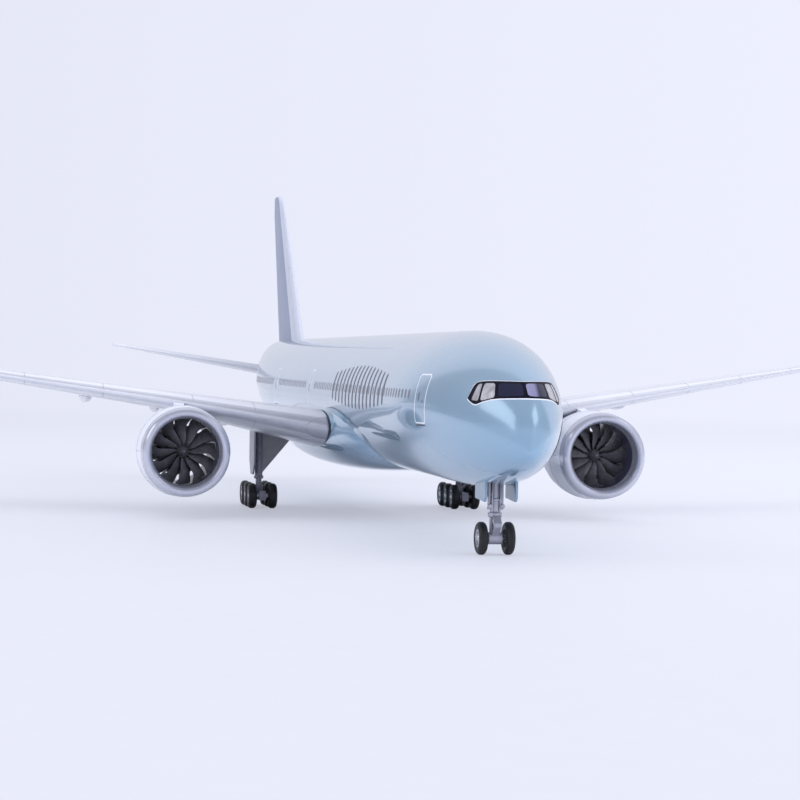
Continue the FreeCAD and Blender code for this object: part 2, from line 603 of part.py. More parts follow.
def build():
    nodes = {}
    band = window_band()
    bay = gear_bay()
    both_body = whole(BODY)
    fin_tab = Part.makeBox(1.6, m(4.0), m(2.0), Vector(-0.8, along(62.5), m(centre_line(62.5) + 1.9)))
    tail_rod = rod(TAIL_ROD_RADIUS_MM, point(-TAIL_ROD_HALF_SPAN, 66.4, 7.36),
                   point(TAIL_ROD_HALF_SPAN, 66.4, 7.36))
    spar_rods = [rod(SPAR_ROD_RADIUS_MM, point(-SPAR_HALF_SPAN, s, 4.30), point(SPAR_HALF_SPAN, s, 4.30))
                 for s in SPAR_STATIONS]

    sections = wing_sections()
    stub = Part.makeLoft(sections[:2], True, True)
    wing = Part.makeLoft(sections[1:], True, True)
    root_block = POD.multiFuse([stub, mirrored(stub)]).removeSplitter()

    shell = BODY.cut(CAVITY)
    glazing = shell.common(band)
    nodes["flight_deck_windows"] = whole(glazing)
    shell = shell.cut(band).cut(root_block).cut(bay).cut(fin_tab).cut(tail_rod)
    whole_shell = Part.makeCompound([shell, mirrored(shell)])
    nodes["fuselage_left_shell"] = shell
    nodes["fuselage_right_shell"] = mirrored(shell)

    socket_mouth = point(0, SOCKET_STATION, centre_line(SOCKET_STATION) + pod_section(SOCKET_STATION)[2])
    socket = rod(SOCKET_RADIUS_MM, socket_mouth - Z_AXIS * 3.0, socket_mouth + Z_AXIS * SOCKET_DEPTH_MM)
    block = root_block.cut(socket)
    for spar in spar_rods:
        block = block.cut(spar)
    nodes["belly_block"] = block
    nodes["wing_spar_rods"] = Part.makeCompound(spar_rods)

    leg = nose_leg()
    ballast = whole(CAVITY).common(box((-3, 2.9, 1.5), (3, 9.5, 4.6))).cut(bay)
    arms, cross, links = nose_brace()
    nodes["nose_ballast"] = ballast.cut(leg).cut(Part.makeCompound(arms))
    nodes["nose_gear_leg"] = leg
    nodes["nose_gear_brace"] = cross.multiFuse(arms).cut(leg).cut(whole_shell).fuse(links.cut(leg))
    door = nose_door().cut(both_body)
    nodes["nose_gear_doors"] = Part.makeCompound([door, mirrored(door)])
    hubs, tyres = wheel_set(0.0, NOSE_GEAR_STATION, NOSE_TYRE_RADIUS, NOSE_TRACK, NOSE_TYRE_WIDTH)
    nodes["nose_axle_hubs"] = hubs
    nodes["nose_tyres"] = tyres

    fin = fin_solid().cut(both_body).fuse(fin_tab)
    nodes["fin"] = fin
    nodes["stabiliser_rod"] = tail_rod
    stabiliser = stabiliser_solid().cut(both_body).cut(tail_rod)

    lamp = lamp_region()
    gear_leg, brace, door = main_leg(), main_brace(), main_door()
    lens = wing.common(lamp).cut(POD)
    wing_body = wing.cut(lamp).cut(POD)
    for spar in spar_rods:
        wing_body = wing_body.cut(spar)
    bulbs = [bulb.cut(wing) for bulb in fairing_bulbs()]
    nacelle = cowl()
    pylon = pylon_blank().cut(nacelle_bulk()).cut(wing)
    rotor = fan()
    axle_pin = fan_bore(AXLE_RADIUS_MM, FAN_STATION - 0.10, FAN_STATION + 1.6)
    centre_body = core().cut(axle_pin).cut(nacelle).cut(inlet_duct())

    lenses = []
    for side, sign in SIDES:
        lenses.append(on_side(lens, sign))
        nodes["wing_" + side] = on_side(wing_body.cut(gear_leg), sign)
        nodes["stabiliser_" + side] = on_side(stabiliser, sign)
        nodes["flap_track_fairings_" + side] = on_side(Part.makeCompound(bulbs), sign)
        nodes["pylon_" + side] = on_side(pylon, sign)
        nodes["nacelle_cowl_" + side] = on_side(nacelle, sign)
        nodes["inlet_lip_" + side] = on_side(inlet_lip(), sign)
        nodes["inlet_duct_" + side] = on_side(inlet_duct(), sign)
        nodes["fan_rotor_" + side] = on_side(rotor, sign)
        nodes["fan_axle_" + side] = on_side(axle_pin, sign)
        nodes["core_cowl_" + side] = on_side(centre_body, sign)
        nodes["exhaust_plug_" + side] = on_side(exhaust_plug(), sign)
        nodes["main_gear_leg_" + side] = on_side(gear_leg, sign)
        nodes["main_gear_brace_" + side] = on_side(brace.cut(gear_leg).cut(wing).cut(POD), sign)
        nodes["main_gear_door_" + side] = on_side(door.cut(wing).cut(brace), sign)
        nodes["bogie_beam_" + side] = on_side(bogie_beam(), sign)
        for i, place in enumerate(("front", "middle", "rear")):
            station = MAIN_AXLE_STATION + i * AXLE_PITCH
            hubs, tyres = wheel_set(sign * MAIN_GEAR_SPAN, station, MAIN_TYRE_RADIUS, MAIN_TRACK,
                                    MAIN_TYRE_WIDTH)
            nodes["axle_hubs_%s_%s" % (side, place)] = hubs
            nodes["tyres_%s_%s" % (side, place)] = tyres
    nodes["landing_light_lenses"] = Part.makeCompound(lenses)
    return nodes


os.makedirs("parts", exist_ok=True)
for name, shape in build().items():
    print("%-28s %2d solids %10.2f mm3 valid %s" % (name, len(shape.Solids), shape.Volume, shape.isValid()))
    shape.exportStep("parts/" + name + ".step")
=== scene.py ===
"""Desktop airliner model: finished surfaces, small details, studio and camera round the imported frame.

The frame is in metres: +X port, +Y aft, +Z up. Shapes are given in metres of the full-size aircraft
as (span, station, height) and place() brings them to the model's scale of 1:157.
"""
import math

import bmesh
import bpy
from mathutils import Matrix, Vector


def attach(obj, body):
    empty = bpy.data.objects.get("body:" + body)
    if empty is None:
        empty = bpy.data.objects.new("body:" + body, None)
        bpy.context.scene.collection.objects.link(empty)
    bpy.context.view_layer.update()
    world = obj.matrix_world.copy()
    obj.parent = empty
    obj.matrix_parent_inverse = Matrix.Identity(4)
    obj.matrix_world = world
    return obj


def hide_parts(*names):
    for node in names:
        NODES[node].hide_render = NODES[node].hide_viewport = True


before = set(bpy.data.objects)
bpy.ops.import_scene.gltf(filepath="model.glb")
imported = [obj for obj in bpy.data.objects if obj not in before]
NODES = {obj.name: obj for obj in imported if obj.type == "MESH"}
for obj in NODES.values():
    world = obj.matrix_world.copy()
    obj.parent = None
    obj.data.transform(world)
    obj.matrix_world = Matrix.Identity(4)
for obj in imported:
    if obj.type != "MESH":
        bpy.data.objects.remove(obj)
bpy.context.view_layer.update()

SCALE = 157.0
MIDDLE_STATION = 36.93
MM = 0.001
SIDES = (("left", 1), ("right", -1))
PLACES = ("front", "middle", "rear")


def place(span, station, height):
    """Frame point of a full-size (span, station, height)."""
    return Vector((span, station - MIDDLE_STATION, height)) / SCALE


def lerp(a, b, t):
    return a + (b - a) * t


def scaled(profile):
    """Full-size (radius, distance) points at the model's scale."""
    return [(r / SCALE, d / SCALE) for r, d in profile]


def turns(count):
    """Equal steps round a circle, in radians."""
    return [2 * math.pi * k / count for k in range(count)]


def add_object(name, data):
    made = bpy.data.objects.new(name, data)
    bpy.context.scene.collection.objects.link(made)
    return made


# ---------------------------------------------------------------- materials

class Tree:
    """A node tree with a few short ways to add to it."""

    def __init__(self, tree):
        self.tree = tree

    def node(self, kind, settings=None, at=None, **inputs):
        """A new node: settings are its properties, at gives inputs by number and the rest by name."""
        made = self.tree.nodes.new("ShaderNode" + kind)
        for key, value in (settings or {}).items():
            setattr(made, key, value)
        named = {key.replace("_", " "): value for key, value in inputs.items()}
        for key, value in {**named, **(at or {})}.items():
            socket = made.inputs[key]
            if isinstance(value, bpy.types.NodeSocket):
                self.tree.links.new(value, socket)
            else:
                socket.default_value = value
        return made

    def math(self, operation, *values):
        return self.node("Math", {"operation": operation}, dict(enumerate(values))).outputs[0]

    def part(self, vector, axis):
        return self.node("SeparateXYZ", Vector=vector).outputs[axis]

    def spread(self, factor, to_low, to_high, low=0.0, high=1.0, ease="LINEAR"):
        """Brings low..high to to_low..to_high."""
        return self.node("MapRange", {"interpolation_type": ease}, Value=factor, From_Min=low, From_Max=high,
                         To_Min=to_low, To_Max=to_high).outputs["Result"]

    def multiply(self, colour, other, factor):
        """One colour times another."""
        settings = {"data_type": "RGBA", "blend_type": "MULTIPLY"}
        return self.node("Mix", settings, {6: colour, 7: other}, Factor=factor).outputs[2]


class Nodes(Tree):
    """A material's node tree."""

    def __init__(self, name):
        self.material = bpy.data.materials.new(name)
        self.material.use_nodes = True
        super().__init__(self.material.node_tree)
        self.shader = self.tree.nodes["Principled BSDF"]
        self.where = self.tree.nodes.new("ShaderNodeTexCoord").outputs["Object"]

    def link(self, output, name):
        self.tree.links.new(output, self.shader.inputs[name])

    def surface(self, **values):
        """Constant values of the surface shader."""
        for key, value in values.items():
            self.shader.inputs[key.replace("_", " ")].default_value = value

    def noise(self, scale, detail=2.0, roughness=0.5, stretch=None):
        """Noise over the object in cells per metre; stretch squeezes it along each axis."""
        at = self.where
        if stretch:
            at = self.node("Mapping", Vector=at, Scale=stretch).outputs["Vector"]
        made = self.node("TexNoise", Vector=at, Scale=scale, Detail=detail, Roughness=roughness)
        return made.outputs["Fac"]

    def ramp(self, factor, stops):
        made = self.node("ValToRGB", Fac=factor)
        elements = made.color_ramp.elements
        while len(elements) < len(stops):
            elements.new(0.5)
        for element, (position, colour) in zip(elements, stops):
            element.position = position
            element.color = (*colour, 1.0)
        return made.outputs["Color"]

    def with_root_shade(self, colour, shade_colour):
        """The colour darkened by painted shade close to the middle of the model, where the body shades the
        wing roots, fading out along the span.
        """
        if shade_colour is None:
            return colour
        reach = self.math("ABSOLUTE", self.part(self.where, "X"))
        share = self.spread(reach, 0.0, 1.0, 0.020, 0.075)
        return self.multiply(colour, self.ramp(share, ((0.0, shade_colour), (1.0, grey(1.0)))), 1.0)

    def bump(self, height, distance, strength=1.0):
        made = self.node("Bump", Height=height, Distance=distance, Strength=strength)
        self.link(made.outputs["Normal"], "Normal")


def grey(value):
    return (value, value, value)


def shade(colour, factor):
    return tuple(c * factor for c in colour)


def finish_material(name, colour, metallic=0.0, roughness=0.35, coat=0.0, variation=0.06, cell=60.0,
                    grain=900.0, grain_depth=0.004, rough_variation=0.06, specular=0.5, stretch=None,
                    painted_root_shade=None):
    """Painted, moulded or cast finish: slow colour drift, uneven gloss and a fine surface grain."""
    n = Nodes(name)
    drift = n.noise(cell, 3.0, 0.55, stretch)
    low, high = shade(colour, 1.0 - variation), tuple(min(1.0, c * (1.0 + variation)) for c in colour)
    # A root shade colour, if given, adds painted shade towards the middle of the model.
    n.link(n.with_root_shade(n.ramp(drift, ((0.32, low), (0.68, high))), painted_root_shade), "Base Color")
    n.link(n.spread(n.noise(cell * 2.3, 2.0, 0.5, stretch), max(0.02, roughness - rough_variation),
                    roughness + rough_variation), "Roughness")
    n.bump(n.noise(grain, 2.0), grain_depth * MM)
    n.surface(Metallic=metallic, Coat_Weight=coat, Coat_Roughness=0.04, Specular_IOR_Level=specular)
    return n.material


def pearl_paint(name, colour, keel_shade_colour, edge):
    """Pearl lacquer: fine flakes beneath a clear coat, with painted shade making it darker and bluer towards
    the keel and painted light making it lighter towards the crown.
    """
    n = Nodes(name)
    # Colour by height: the keel colour is painted shade and the colour given as edge is painted light on the
    # crown.
    height = n.spread(n.part(n.where, "Z"), 0.0, 1.0, 0.012, 0.052)
    body = n.ramp(height, ((0.0, keel_shade_colour), (0.45, colour), (1.0, edge)))
    flakes = n.node("TexVoronoi", Vector=n.where, Scale=5200.0)
    sparkle = n.ramp(flakes.outputs["Color"], ((0.0, grey(0.90)), (1.0, grey(1.0))))
    n.link(n.multiply(body, sparkle, 0.6), "Base Color")
    n.link(n.spread(n.noise(45.0, 2.0), 0.20, 0.30), "Roughness")
    n.bump(n.noise(70.0, 1.0), 0.006 * MM, 0.5)
    n.surface(Metallic=0.35, Coat_Weight=1.0, Coat_Roughness=0.02, Coat_IOR=1.5)
    return n.material


def brushed_metal(name, colour, roughness, direction, cell=900.0, metallic=1.0, coat=0.0, painted_root_shade=None):
    """Metal with fine turned or brushed lines along one direction."""
    n = Nodes(name)
    lines = n.noise(cell, 3.0, 0.6, direction)
    # A root shade colour, if given, adds painted shade towards the middle of the model.
    n.link(n.with_root_shade(n.ramp(lines, ((0.3, shade(colour, 0.93)), (0.7, colour))), painted_root_shade), "Base Color")
    n.link(n.spread(lines, roughness * 0.75, roughness * 1.3), "Roughness")
    n.bump(lines, 0.003 * MM, 0.6)
    n.surface(Metallic=metallic, Coat_Weight=coat)
    return n.material


def rubber(name):
    n = Nodes(name)
    dust = n.noise(260.0, 4.0, 0.65)
    n.link(n.ramp(dust, ((0.35, grey(0.007)), (0.75, (0.017, 0.017, 0.020)))), "Base Color")
    n.link(n.spread(dust, 0.34, 0.52), "Roughness")
    n.bump(n.noise(2600.0, 3.0), 0.02 * MM, 0.7)
    return n.material


# The fuselage pearl: its second colour is painted shade at the keel and its third is painted light at the
# crown.
PAINT = pearl_paint("pearl_fuselage", (0.275, 0.435, 0.58), (0.215, 0.38, 0.56), (0.39, 0.52, 0.63))
WHITE = finish_material("white_line", (0.82, 0.86, 0.92), roughness=0.3, coat=0.6)
SLATE = finish_material("slate_print", (0.055, 0.062, 0.100), roughness=0.40, coat=0.2, variation=0.12)
WINDOW = finish_material("window_print", (0.10, 0.11, 0.17), roughness=0.30, coat=0.4, variation=0.15)
FRAME_BLACK = finish_material("window_frame", (0.006, 0.005, 0.014), roughness=0.42, variation=0.2,
                              specular=0.12)
PANE_SIDE = finish_material("side_pane", (0.36, 0.35, 0.37), roughness=0.18, coat=0.3, variation=0.30,
                            cell=900.0, stretch=(1.0, 1.0, 0.35))


def front_glass(name):
    """Dark glass with a painted reflection: a pale band beside the centre post on the port side."""
    n = Nodes(name)
    share = n.spread(n.part(n.where, "X"), 0.0, 1.0, -0.008, 0.008)
    dark, painted_reflection = (0.018, 0.020, 0.045), (0.27, 0.26, 0.42)
    # The pale band on the port panes is a painted reflection.
    n.link(n.ramp(share, ((0.0, dark), (0.50, dark), (0.52, painted_reflection), (0.66, shade(painted_reflection, 0.8)), (0.72, dark))),
           "Base Color")
    n.link(n.spread(n.noise(300.0), 0.10, 0.18), "Roughness")
    n.surface(Specular_IOR_Level=0.35)
    return n.material


PANE_FRONT = front_glass("front_pane")
# The wing silver and the wing edge metal carry painted shade towards the middle of the model, where the body
# shades the wing roots.
WING = finish_material("wing_silver", (0.80, 0.81, 0.86), roughness=0.34, coat=0.5, variation=0.03, cell=30.0,
                       painted_root_shade=(0.58, 0.59, 0.62))
WING_EDGE = brushed_metal("wing_edge_silver", (0.76, 0.77, 0.83), 0.34, (0.2, 1.0, 1.0), 500.0, 0.45,
                          painted_root_shade=(0.52, 0.53, 0.57))
PANEL_LINE = finish_material("panel_line", (0.30, 0.31, 0.36), roughness=0.5, variation=0.1)
# Near-black fill for the inside of the wing-root gap: the gap is real, its darkness is painted shade.
GAP_SHADE = finish_material("painted_gap_shade", (0.020, 0.028, 0.045), roughness=0.5, variation=0.2)
FIN_PAINT = finish_material("fin_paint", (0.29, 0.33, 0.44), metallic=0.1, roughness=0.42, coat=0.05,
                            variation=0.03, cell=40.0)
FIN_EDGE = brushed_metal("fin_edge_silver", (0.70, 0.73, 0.82), 0.3, (1.0, 1.0, 0.2), 500.0, 0.3)
NACELLE = finish_material("nacelle_paint", (0.82, 0.84, 0.91), metallic=0.0, roughness=0.34, coat=0.35,
                          variation=0.03, cell=50.0)
LIP = brushed_metal("lip_metal", (0.60, 0.61, 0.70), 0.20, (1.0, 0.3, 1.0), 90.0, 0.55)
# A darker copy of the lip metal, painted shade for the side of the lip facing into the intake.
LIP_SHADED = brushed_metal("lip_metal_shaded", (0.52, 0.53, 0.63), 0.28, (1.0, 0.3, 1.0), 90.0, 0.60)
DUCT = finish_material("duct_dark", (0.075, 0.074, 0.125), roughness=0.46, variation=0.2, specular=0.35)
FAN = finish_material("fan_black", (0.135, 0.135, 0.148), roughness=0.28, coat=0.5, variation=0.25,
                      cell=300.0)
CORE = brushed_metal("core_metal", (0.30, 0.28, 0.29), 0.34, (1.0, 0.15, 1.0), 700.0, 0.9)
STRUT = finish_material("gear_dark", (0.27, 0.27, 0.33), metallic=0.15, roughness=0.42, coat=0.2,
                        variation=0.18, cell=260.0, grain=2400.0, grain_depth=0.012)
STRUT_WEB = finish_material("gear_web", (0.37, 0.365, 0.38), metallic=0.1, roughness=0.45, coat=0.15,
                            variation=0.12, cell=220.0, grain=2400.0, grain_depth=0.012)
SILVER = brushed_metal("gear_silver", (0.48, 0.48, 0.55), 0.36, (1.0, 1.0, 0.15), 1200.0, 0.60)
CHROME = brushed_metal("oleo_chrome", (0.80, 0.81, 0.84), 0.10, (1.0, 1.0, 0.2), 1200.0, 1.0)
DOOR = finish_material("gear_door_paint", (0.21, 0.32, 0.43), metallic=0.15, roughness=0.3, coat=0.6,
                       variation=0.05, cell=150.0)
DOOR_GREY = finish_material("main_door_paint", (0.38, 0.38, 0.43), metallic=0.1, roughness=0.42, coat=0.1,
                            variation=0.05, cell=150.0)
HUB = brushed_metal("hub_metal", (0.60, 0.60, 0.62), 0.26, (0.2, 1.0, 1.0), 1500.0, 0.9)
TYRE = rubber("tyre_rubber")
STEEL = brushed_metal("rod_steel", (0.55, 0.55, 0.56), 0.25, (0.1, 1.0, 1.0), 1500.0)
IRON = finish_material("ballast_iron", (0.12, 0.11, 0.10), metallic=0.9, roughness=0.55, variation=0.3,
                       cell=300.0, grain=1500.0, grain_depth=0.05)


# ---------------------------------------------------------------- mesh building

WELD = 2e-7


class Shape:
    """Vertices and faces gathered for one piece."""

    def __init__(self):
        self.points = []
        self.faces = []
        self.kinds = []

    def add(self, points, faces, kind=0):
        first = len(self.points)
        self.points.extend(points)
        self.faces.extend([tuple(first + i for i in face) for face in faces])
        self.kinds.extend([kind] * len(faces))

    def grid(self, rows, wrap=False, caps=False, kind=0, skip=None):
        """Faces over rows of points; wrap joins each row's ends and caps closes the first and last row."""
        count = len(rows[0])
        points = [p for row in rows for p in row]
        faces = []
        for i in range(len(rows) - 1):
            for j in range(count if wrap else count - 1):
                if skip and skip(i, j):
                    continue
                k = (j + 1) % count
                faces.append((i * count + j, i * count + k, (i + 1) * count + k, (i + 1) * count + j))
        if caps:
            faces.append(tuple(range(count - 1, -1, -1)))
            last = (len(rows) - 1) * count
            faces.append(tuple(range(last, last + count)))
        self.add(points, faces, kind)

    def lathe(self, profile, centre, axis, segments=64, kind=0, closed=False):
        """Turns (radius, distance) points about an axis through centre."""
        across = Vector((0, 0, 1)) if abs(axis.z) < 0.9 else Vector((1, 0, 0))
        u = axis.cross(across).normalized()
        v = axis.cross(u).normalized()
        rows = []
        for radius, distance in profile:
            ring = []
            for turn in turns(segments):
                outward = u * math.cos(turn) + v * math.sin(turn)
                ring.append(centre + axis * distance + outward * max(radius, 1e-7))
            rows.append(ring)
        if closed:
            rows.append(rows[0])
        self.grid(rows, wrap=True, kind=kind)

    def tube(self, path, radius, segments=12, kind=0):
        """Round bar through the points, with closed ends."""
        rows = []
        for i, p in enumerate(path):
            ahead = (path[min(i + 1, len(path) - 1)] - path[max(i - 1, 0)]).normalized()
            across = Vector((1, 0, 0)) if abs(ahead.x) < 0.9 else Vector((0, 0, 1))
            u = ahead.cross(across).normalized()
            v = ahead.cross(u).normalized()
            rows.append([p + (u * math.cos(a) + v * math.sin(a)) * radius
                         for a in turns(segments)])
        self.grid(rows, wrap=True, caps=True, kind=kind)

    def slab(self, outline, offset, kind=0):
        """Prism: an outline of points pushed through by offset."""
        count = len(outline)
        points = list(outline) + [p + offset for p in outline]
        faces = [tuple(range(count - 1, -1, -1)), tuple(range(count, 2 * count))]
        faces += [(i, (i + 1) % count, (i + 1) % count + count, i + count) for i in range(count)]
        self.add(points, faces, kind)

    def mesh(self, name):
        made = bpy.data.meshes.new(name)
        made.from_pydata([tuple(p) for p in self.points], [], self.faces)
        return made

    def piece(self, name, materials, body="airframe", replaces=(), sharp=35.0, solid=0.0,
              bevel=0.0):
        mesh = self.mesh(name)
        for material in materials if isinstance(materials, (list, tuple)) else [materials]:
            mesh.materials.append(material)
        mesh.polygons.foreach_set("material_index", self.kinds)
        work = bmesh.new()
        work.from_mesh(mesh)
        bmesh.ops.remove_doubles(work, verts=work.verts, dist=WELD)
        bmesh.ops.recalc_face_normals(work, faces=work.faces)
        work.to_mesh(mesh)
        work.free()
        mesh.shade_smooth()
        mesh.set_sharp_from_angle(angle=math.radians(sharp))
        made = add_object(name, mesh)
        if solid:
            thick = made.modifiers.new("wall", "SOLIDIFY")
            thick.thickness = solid
            thick.offset = -1.0
        if bevel:
            soften(made, bevel)
        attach(made, body)
        if replaces:
            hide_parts(*replaces)
        return made


def soften(thing, width, segments=2):
    made = thing.modifiers.new("soft_edges", "BEVEL")
    made.width = width
    made.segments = segments
    made.limit_method = "ANGLE"
    made.angle_limit = math.radians(40)
    made.harden_normals = False


def ribbon(shape, path, width, lift=0.02 * MM, kind=0, close=False):
    """Low painted line along (point, normal) pairs on a surface."""
    rows = []
    count = len(path)
    for i, (p, n) in enumerate(path):
        before = path[i - 1][0] if i > 0 or close else p
        after = path[(i + 1) % count][0] if i < count - 1 or close else p
        across = n.cross((after - before).normalized()).normalized() * (width / 2)
        rows.append([p - across * 1.1 - n * lift, p - across + n * lift, p + across + n * lift,
                     p + across * 1.1 - n * lift])
    if close:
        rows.append(rows[0])
        shape.grid(rows, wrap=True, kind=kind)
    else:
        shape.grid(rows, wrap=True, caps=True, kind=kind)


# ---------------------------------------------------------------- fuselage surface

def bluntness(station, length, power, root):
    reach = max(0.0, 1.0 - station / length)
    return max(0.0, 1.0 - reach ** power) ** (1.0 / root)


def centre_line(station):
    return 5.61 + 0.006 * station


TAIL_START = 49.0
TAIL_END = 73.08
TAIL_TOP_START = 60.0


def body_section(station):
    """Half-width, crown, keel and waist of the fuselage over its centre line."""
    keel_growth = bluntness(station, 9.49, 2.07, 1.88)
    half_width = 3.10 * bluntness(station, 11.53, 1.93, 1.74)
    crown = -1.42 + 4.52 * bluntness(station, 10.66, 2.48, 2.12)
    keel = -1.42 - 1.68 * keel_growth
    waist = -1.42 * (1.0 - keel_growth)
    if station > TAIL_START:
        reach = (station - TAIL_START) / (TAIL_END - TAIL_START)
        half_width = 3.10 * max(0.0, 1.0 - reach ** 2) ** 0.8 + 0.10 * reach
        lift = 1.5 * reach ** 2 if reach < 0.42 else 0.2646 + 1.268 * (reach - 0.42)
        keel = -3.10 + 3.95 * min(lift, 1.0)
        waist = 1.45 * lift
    if station > TAIL_TOP_START:
        reach = (station - TAIL_TOP_START) / (TAIL_END - TAIL_TOP_START)
        crown = 3.10 - 1.05 * reach ** 5
    return half_width, crown, keel, waist


def hull(station, angle):
    """Full-size point of the skin; angle is -90 degrees at the keel, 0 at the port waist, 90 at the crown."""
    half_width, crown, keel, waist = body_section(station)
    turn = math.radians(angle)
    rise = crown - waist if turn > 0 else waist - keel
    height = centre_line(station) + waist + rise * math.sin(turn)
    return Vector((half_width * math.cos(turn), station, height))


def hull_angle(station, height):
    """Angle of the skin point at a height."""
    half_width, crown, keel, waist = body_section(station)
    rise = height - centre_line(station) - waist
    share = rise / (crown - waist if rise > 0 else waist - keel)
    return math.degrees(math.asin(max(-1.0, min(1.0, share))))


def hull_at(station, angle, side=1):
    """Frame point and outward normal of the skin."""
    here = hull(station, angle)
    step = 0.02
    along = hull(min(station + step, TAIL_END), angle) - hull(max(station - step, 0.0005), angle)
    round_ = hull(station, angle + 0.5) - hull(station, angle - 0.5)
    normal = along.cross(round_).normalized()
    if normal.x * here.x + normal.z * (here.z - centre_line(station)) < 0 and station > 1.0:
        normal = -normal
    elif station <= 1.0 and normal.y > 0:
        normal = -normal
    p = place(side * here.x, here.y, here.z)
    return p, Vector((side * normal.x, normal.y, normal.z))


def skin_at(station, height, side):
    """Frame point and outward normal of the skin at a height."""
    return hull_at(station, hull_angle(station, height), side)


def hull_path(corners, side, steps=8):
    """Points and normals along straight runs between (station, height) corners."""
    path = []
    for (s0, z0), (s1, z1) in zip(corners[:-1], corners[1:]):
        for k in range(steps):
            t = k / steps
            path.append(skin_at(lerp(s0, s1, t), lerp(z0, z1, t), side))
    path.append(skin_at(*corners[-1], side))
    return path


def rounded_box(s0, z0, s1, z1, radius, steps=5):
    """Closed outline of a rectangle with round corners, as (station, height)."""
    outline = []
    for cs, cz, start in ((s1 - radius, z1 - radius, 0), (s0 + radius, z1 - radius, 90),
                          (s0 + radius, z0 + radius, 180), (s1 - radius, z0 + radius, 270)):
        for k in range(steps):
            turn = math.radians(start + 90.0 * k / (steps - 1))
            outline.append((cs + radius * math.cos(turn), cz + radius * math.sin(turn)))
    return outline


def dense(outline, step):
    """A closed outline with points added so that none are further apart than step."""
    made = []
    for a, b in zip(outline, outline[1:] + outline[:1]):
        count = max(1, math.ceil(math.hypot(b[0] - a[0], b[1] - a[1]) / step))
        made += [(lerp(a[0], b[0], k / count), lerp(a[1], b[1], k / count)) for k in range(count)]
    return made


def hull_patch(shape, outline, side, lift=0.025 * MM, rings=3, kind=0):
    """Low printed patch on the skin inside an outline of (station, height) points."""
    outline = dense(outline, 0.15)
    mid_s = sum(s for s, z in outline) / len(outline)
    mid_z = sum(z for s, z in outline) / len(outline)
    rows = []
    for r in range(rings, -1, -1):
        t = r / rings
        row = []
        for s, z in outline:
            p, n = skin_at(lerp(mid_s, s, t), lerp(mid_z, z, t), side)
            row.append(p + n * lift)
        rows.append(row)
    edge = []
    for s, z in outline:
        p, n = skin_at(s, z, side)
        edge.append(p - n * lift)
    shape.grid([edge] + rows, wrap=True, kind=kind)


BAY_FRONT, BAY_BACK, BAY_HALF = 4.60, 6.50, 0.46


def skin_stations():
    nose = [0.0005 + 11.5 * (i / 54.0) ** 1.9 for i in range(55)]
    nose = [s for s in nose if min(abs(s - BAY_FRONT), abs(s - BAY_BACK)) > 0.12] + [BAY_FRONT, BAY_BACK]
    barrel = [12.3 + 1.15 * i for i in range(32)]
    tail = [TAIL_START + (TAIL_END - TAIL_START) * i / 44.0 for i in range(45)]
    return sorted(nose) + barrel + tail


def fuselage_skin():
    """Whole fuselage skin with the nose-gear bay cut out of its keel."""
    stations = skin_stations()
    columns = 72
    rows = []
    for station in stations:
        half_width = body_section(station)[0]
        first = 90.0 - math.degrees(math.acos(min(BAY_HALF / half_width, 0.35)))
        angles = [-90.0] + [lerp(-90.0 + first, 90.0, k / (columns - 1)) for k in range(columns)]
        port = [hull_at(station, angle, 1)[0] for angle in angles]
        starboard = [hull_at(station, angle, -1)[0] for angle in angles[1:-1]]
        rows.append(port + starboard[::-1])

    def in_bay(i, j):
        beside_keel = j in (0, len(rows[0]) - 1)
        return beside_keel and BAY_FRONT - 0.01 < stations[i] < BAY_BACK - 0.01

    shape = Shape()
    shape.grid(rows, wrap=True, caps=True, skip=in_bay)
    return shape.piece("fuselage_skin", PAINT, solid=1.2 * MM, sharp=60.0,
                       replaces=("fuselage_left_shell", "fuselage_right_shell"))


fuselage_skin()

joint = Shape()
ribbon(joint, [hull_at(17.0 + 42.0 * i / 80, 89.99, 1) for i in range(81)], 0.16 * MM, 0.015 * MM)
ribbon(joint, [hull_at(48.0 + 22.0 * i / 40, -89.99, 1) for i in range(41)], 0.16 * MM, 0.015 * MM)
joint.piece("fuselage_joint_line", PANEL_LINE)


# ---------------------------------------------------------------- belly fairing and wing surface

POD_MIDDLE, POD_FRONT, POD_BACK = 35.5, 15.5, 12.0


def pod_rows():
    rows = []
    for i in range(61):
        reach = math.sin(math.radians(-90.0 + 3.0 * i))
        station = POD_MIDDLE + reach * (POD_FRONT if reach < 0 else POD_BACK)
        fullness = math.sqrt(max(0.0, 1.0 - reach ** 2))
        half_width, crown = 1.5 + 2.3 * fullness, -1.0 + 1.3 * fullness
        keel, waist = -2.55 - 1.05 * fullness, -1.65
        row = []
        for turn in turns(96):
            rise = crown - waist if math.sin(turn) > 0 else waist - keel
            across = math.copysign(abs(math.cos(turn)) ** 0.8, math.cos(turn))
            height = centre_line(station) + waist + rise * math.sin(turn)
            row.append(place(half_width * across, station, height))
        rows.append(row)
    return rows


belly = Shape()
belly.grid(pod_rows(), wrap=True, caps=True)
belly.piece("belly_fairing", PAINT, replaces=("belly_block",), sharp=40.0)

ROOT, ROOT_EDGE, ROOT_HEIGHT = 3.35, 25.9, 4.55
KINK, MID, ROOT_DROP = 10.2, 19.4, 0.20


def wing_edge(span):
    return ROOT_EDGE + 0.68 * (span - ROOT)


def wing_height(span):
    return ROOT_HEIGHT + 0.135 * (span - ROOT) - ROOT_DROP * max(0.0, (KINK - span) / (KINK - ROOT))


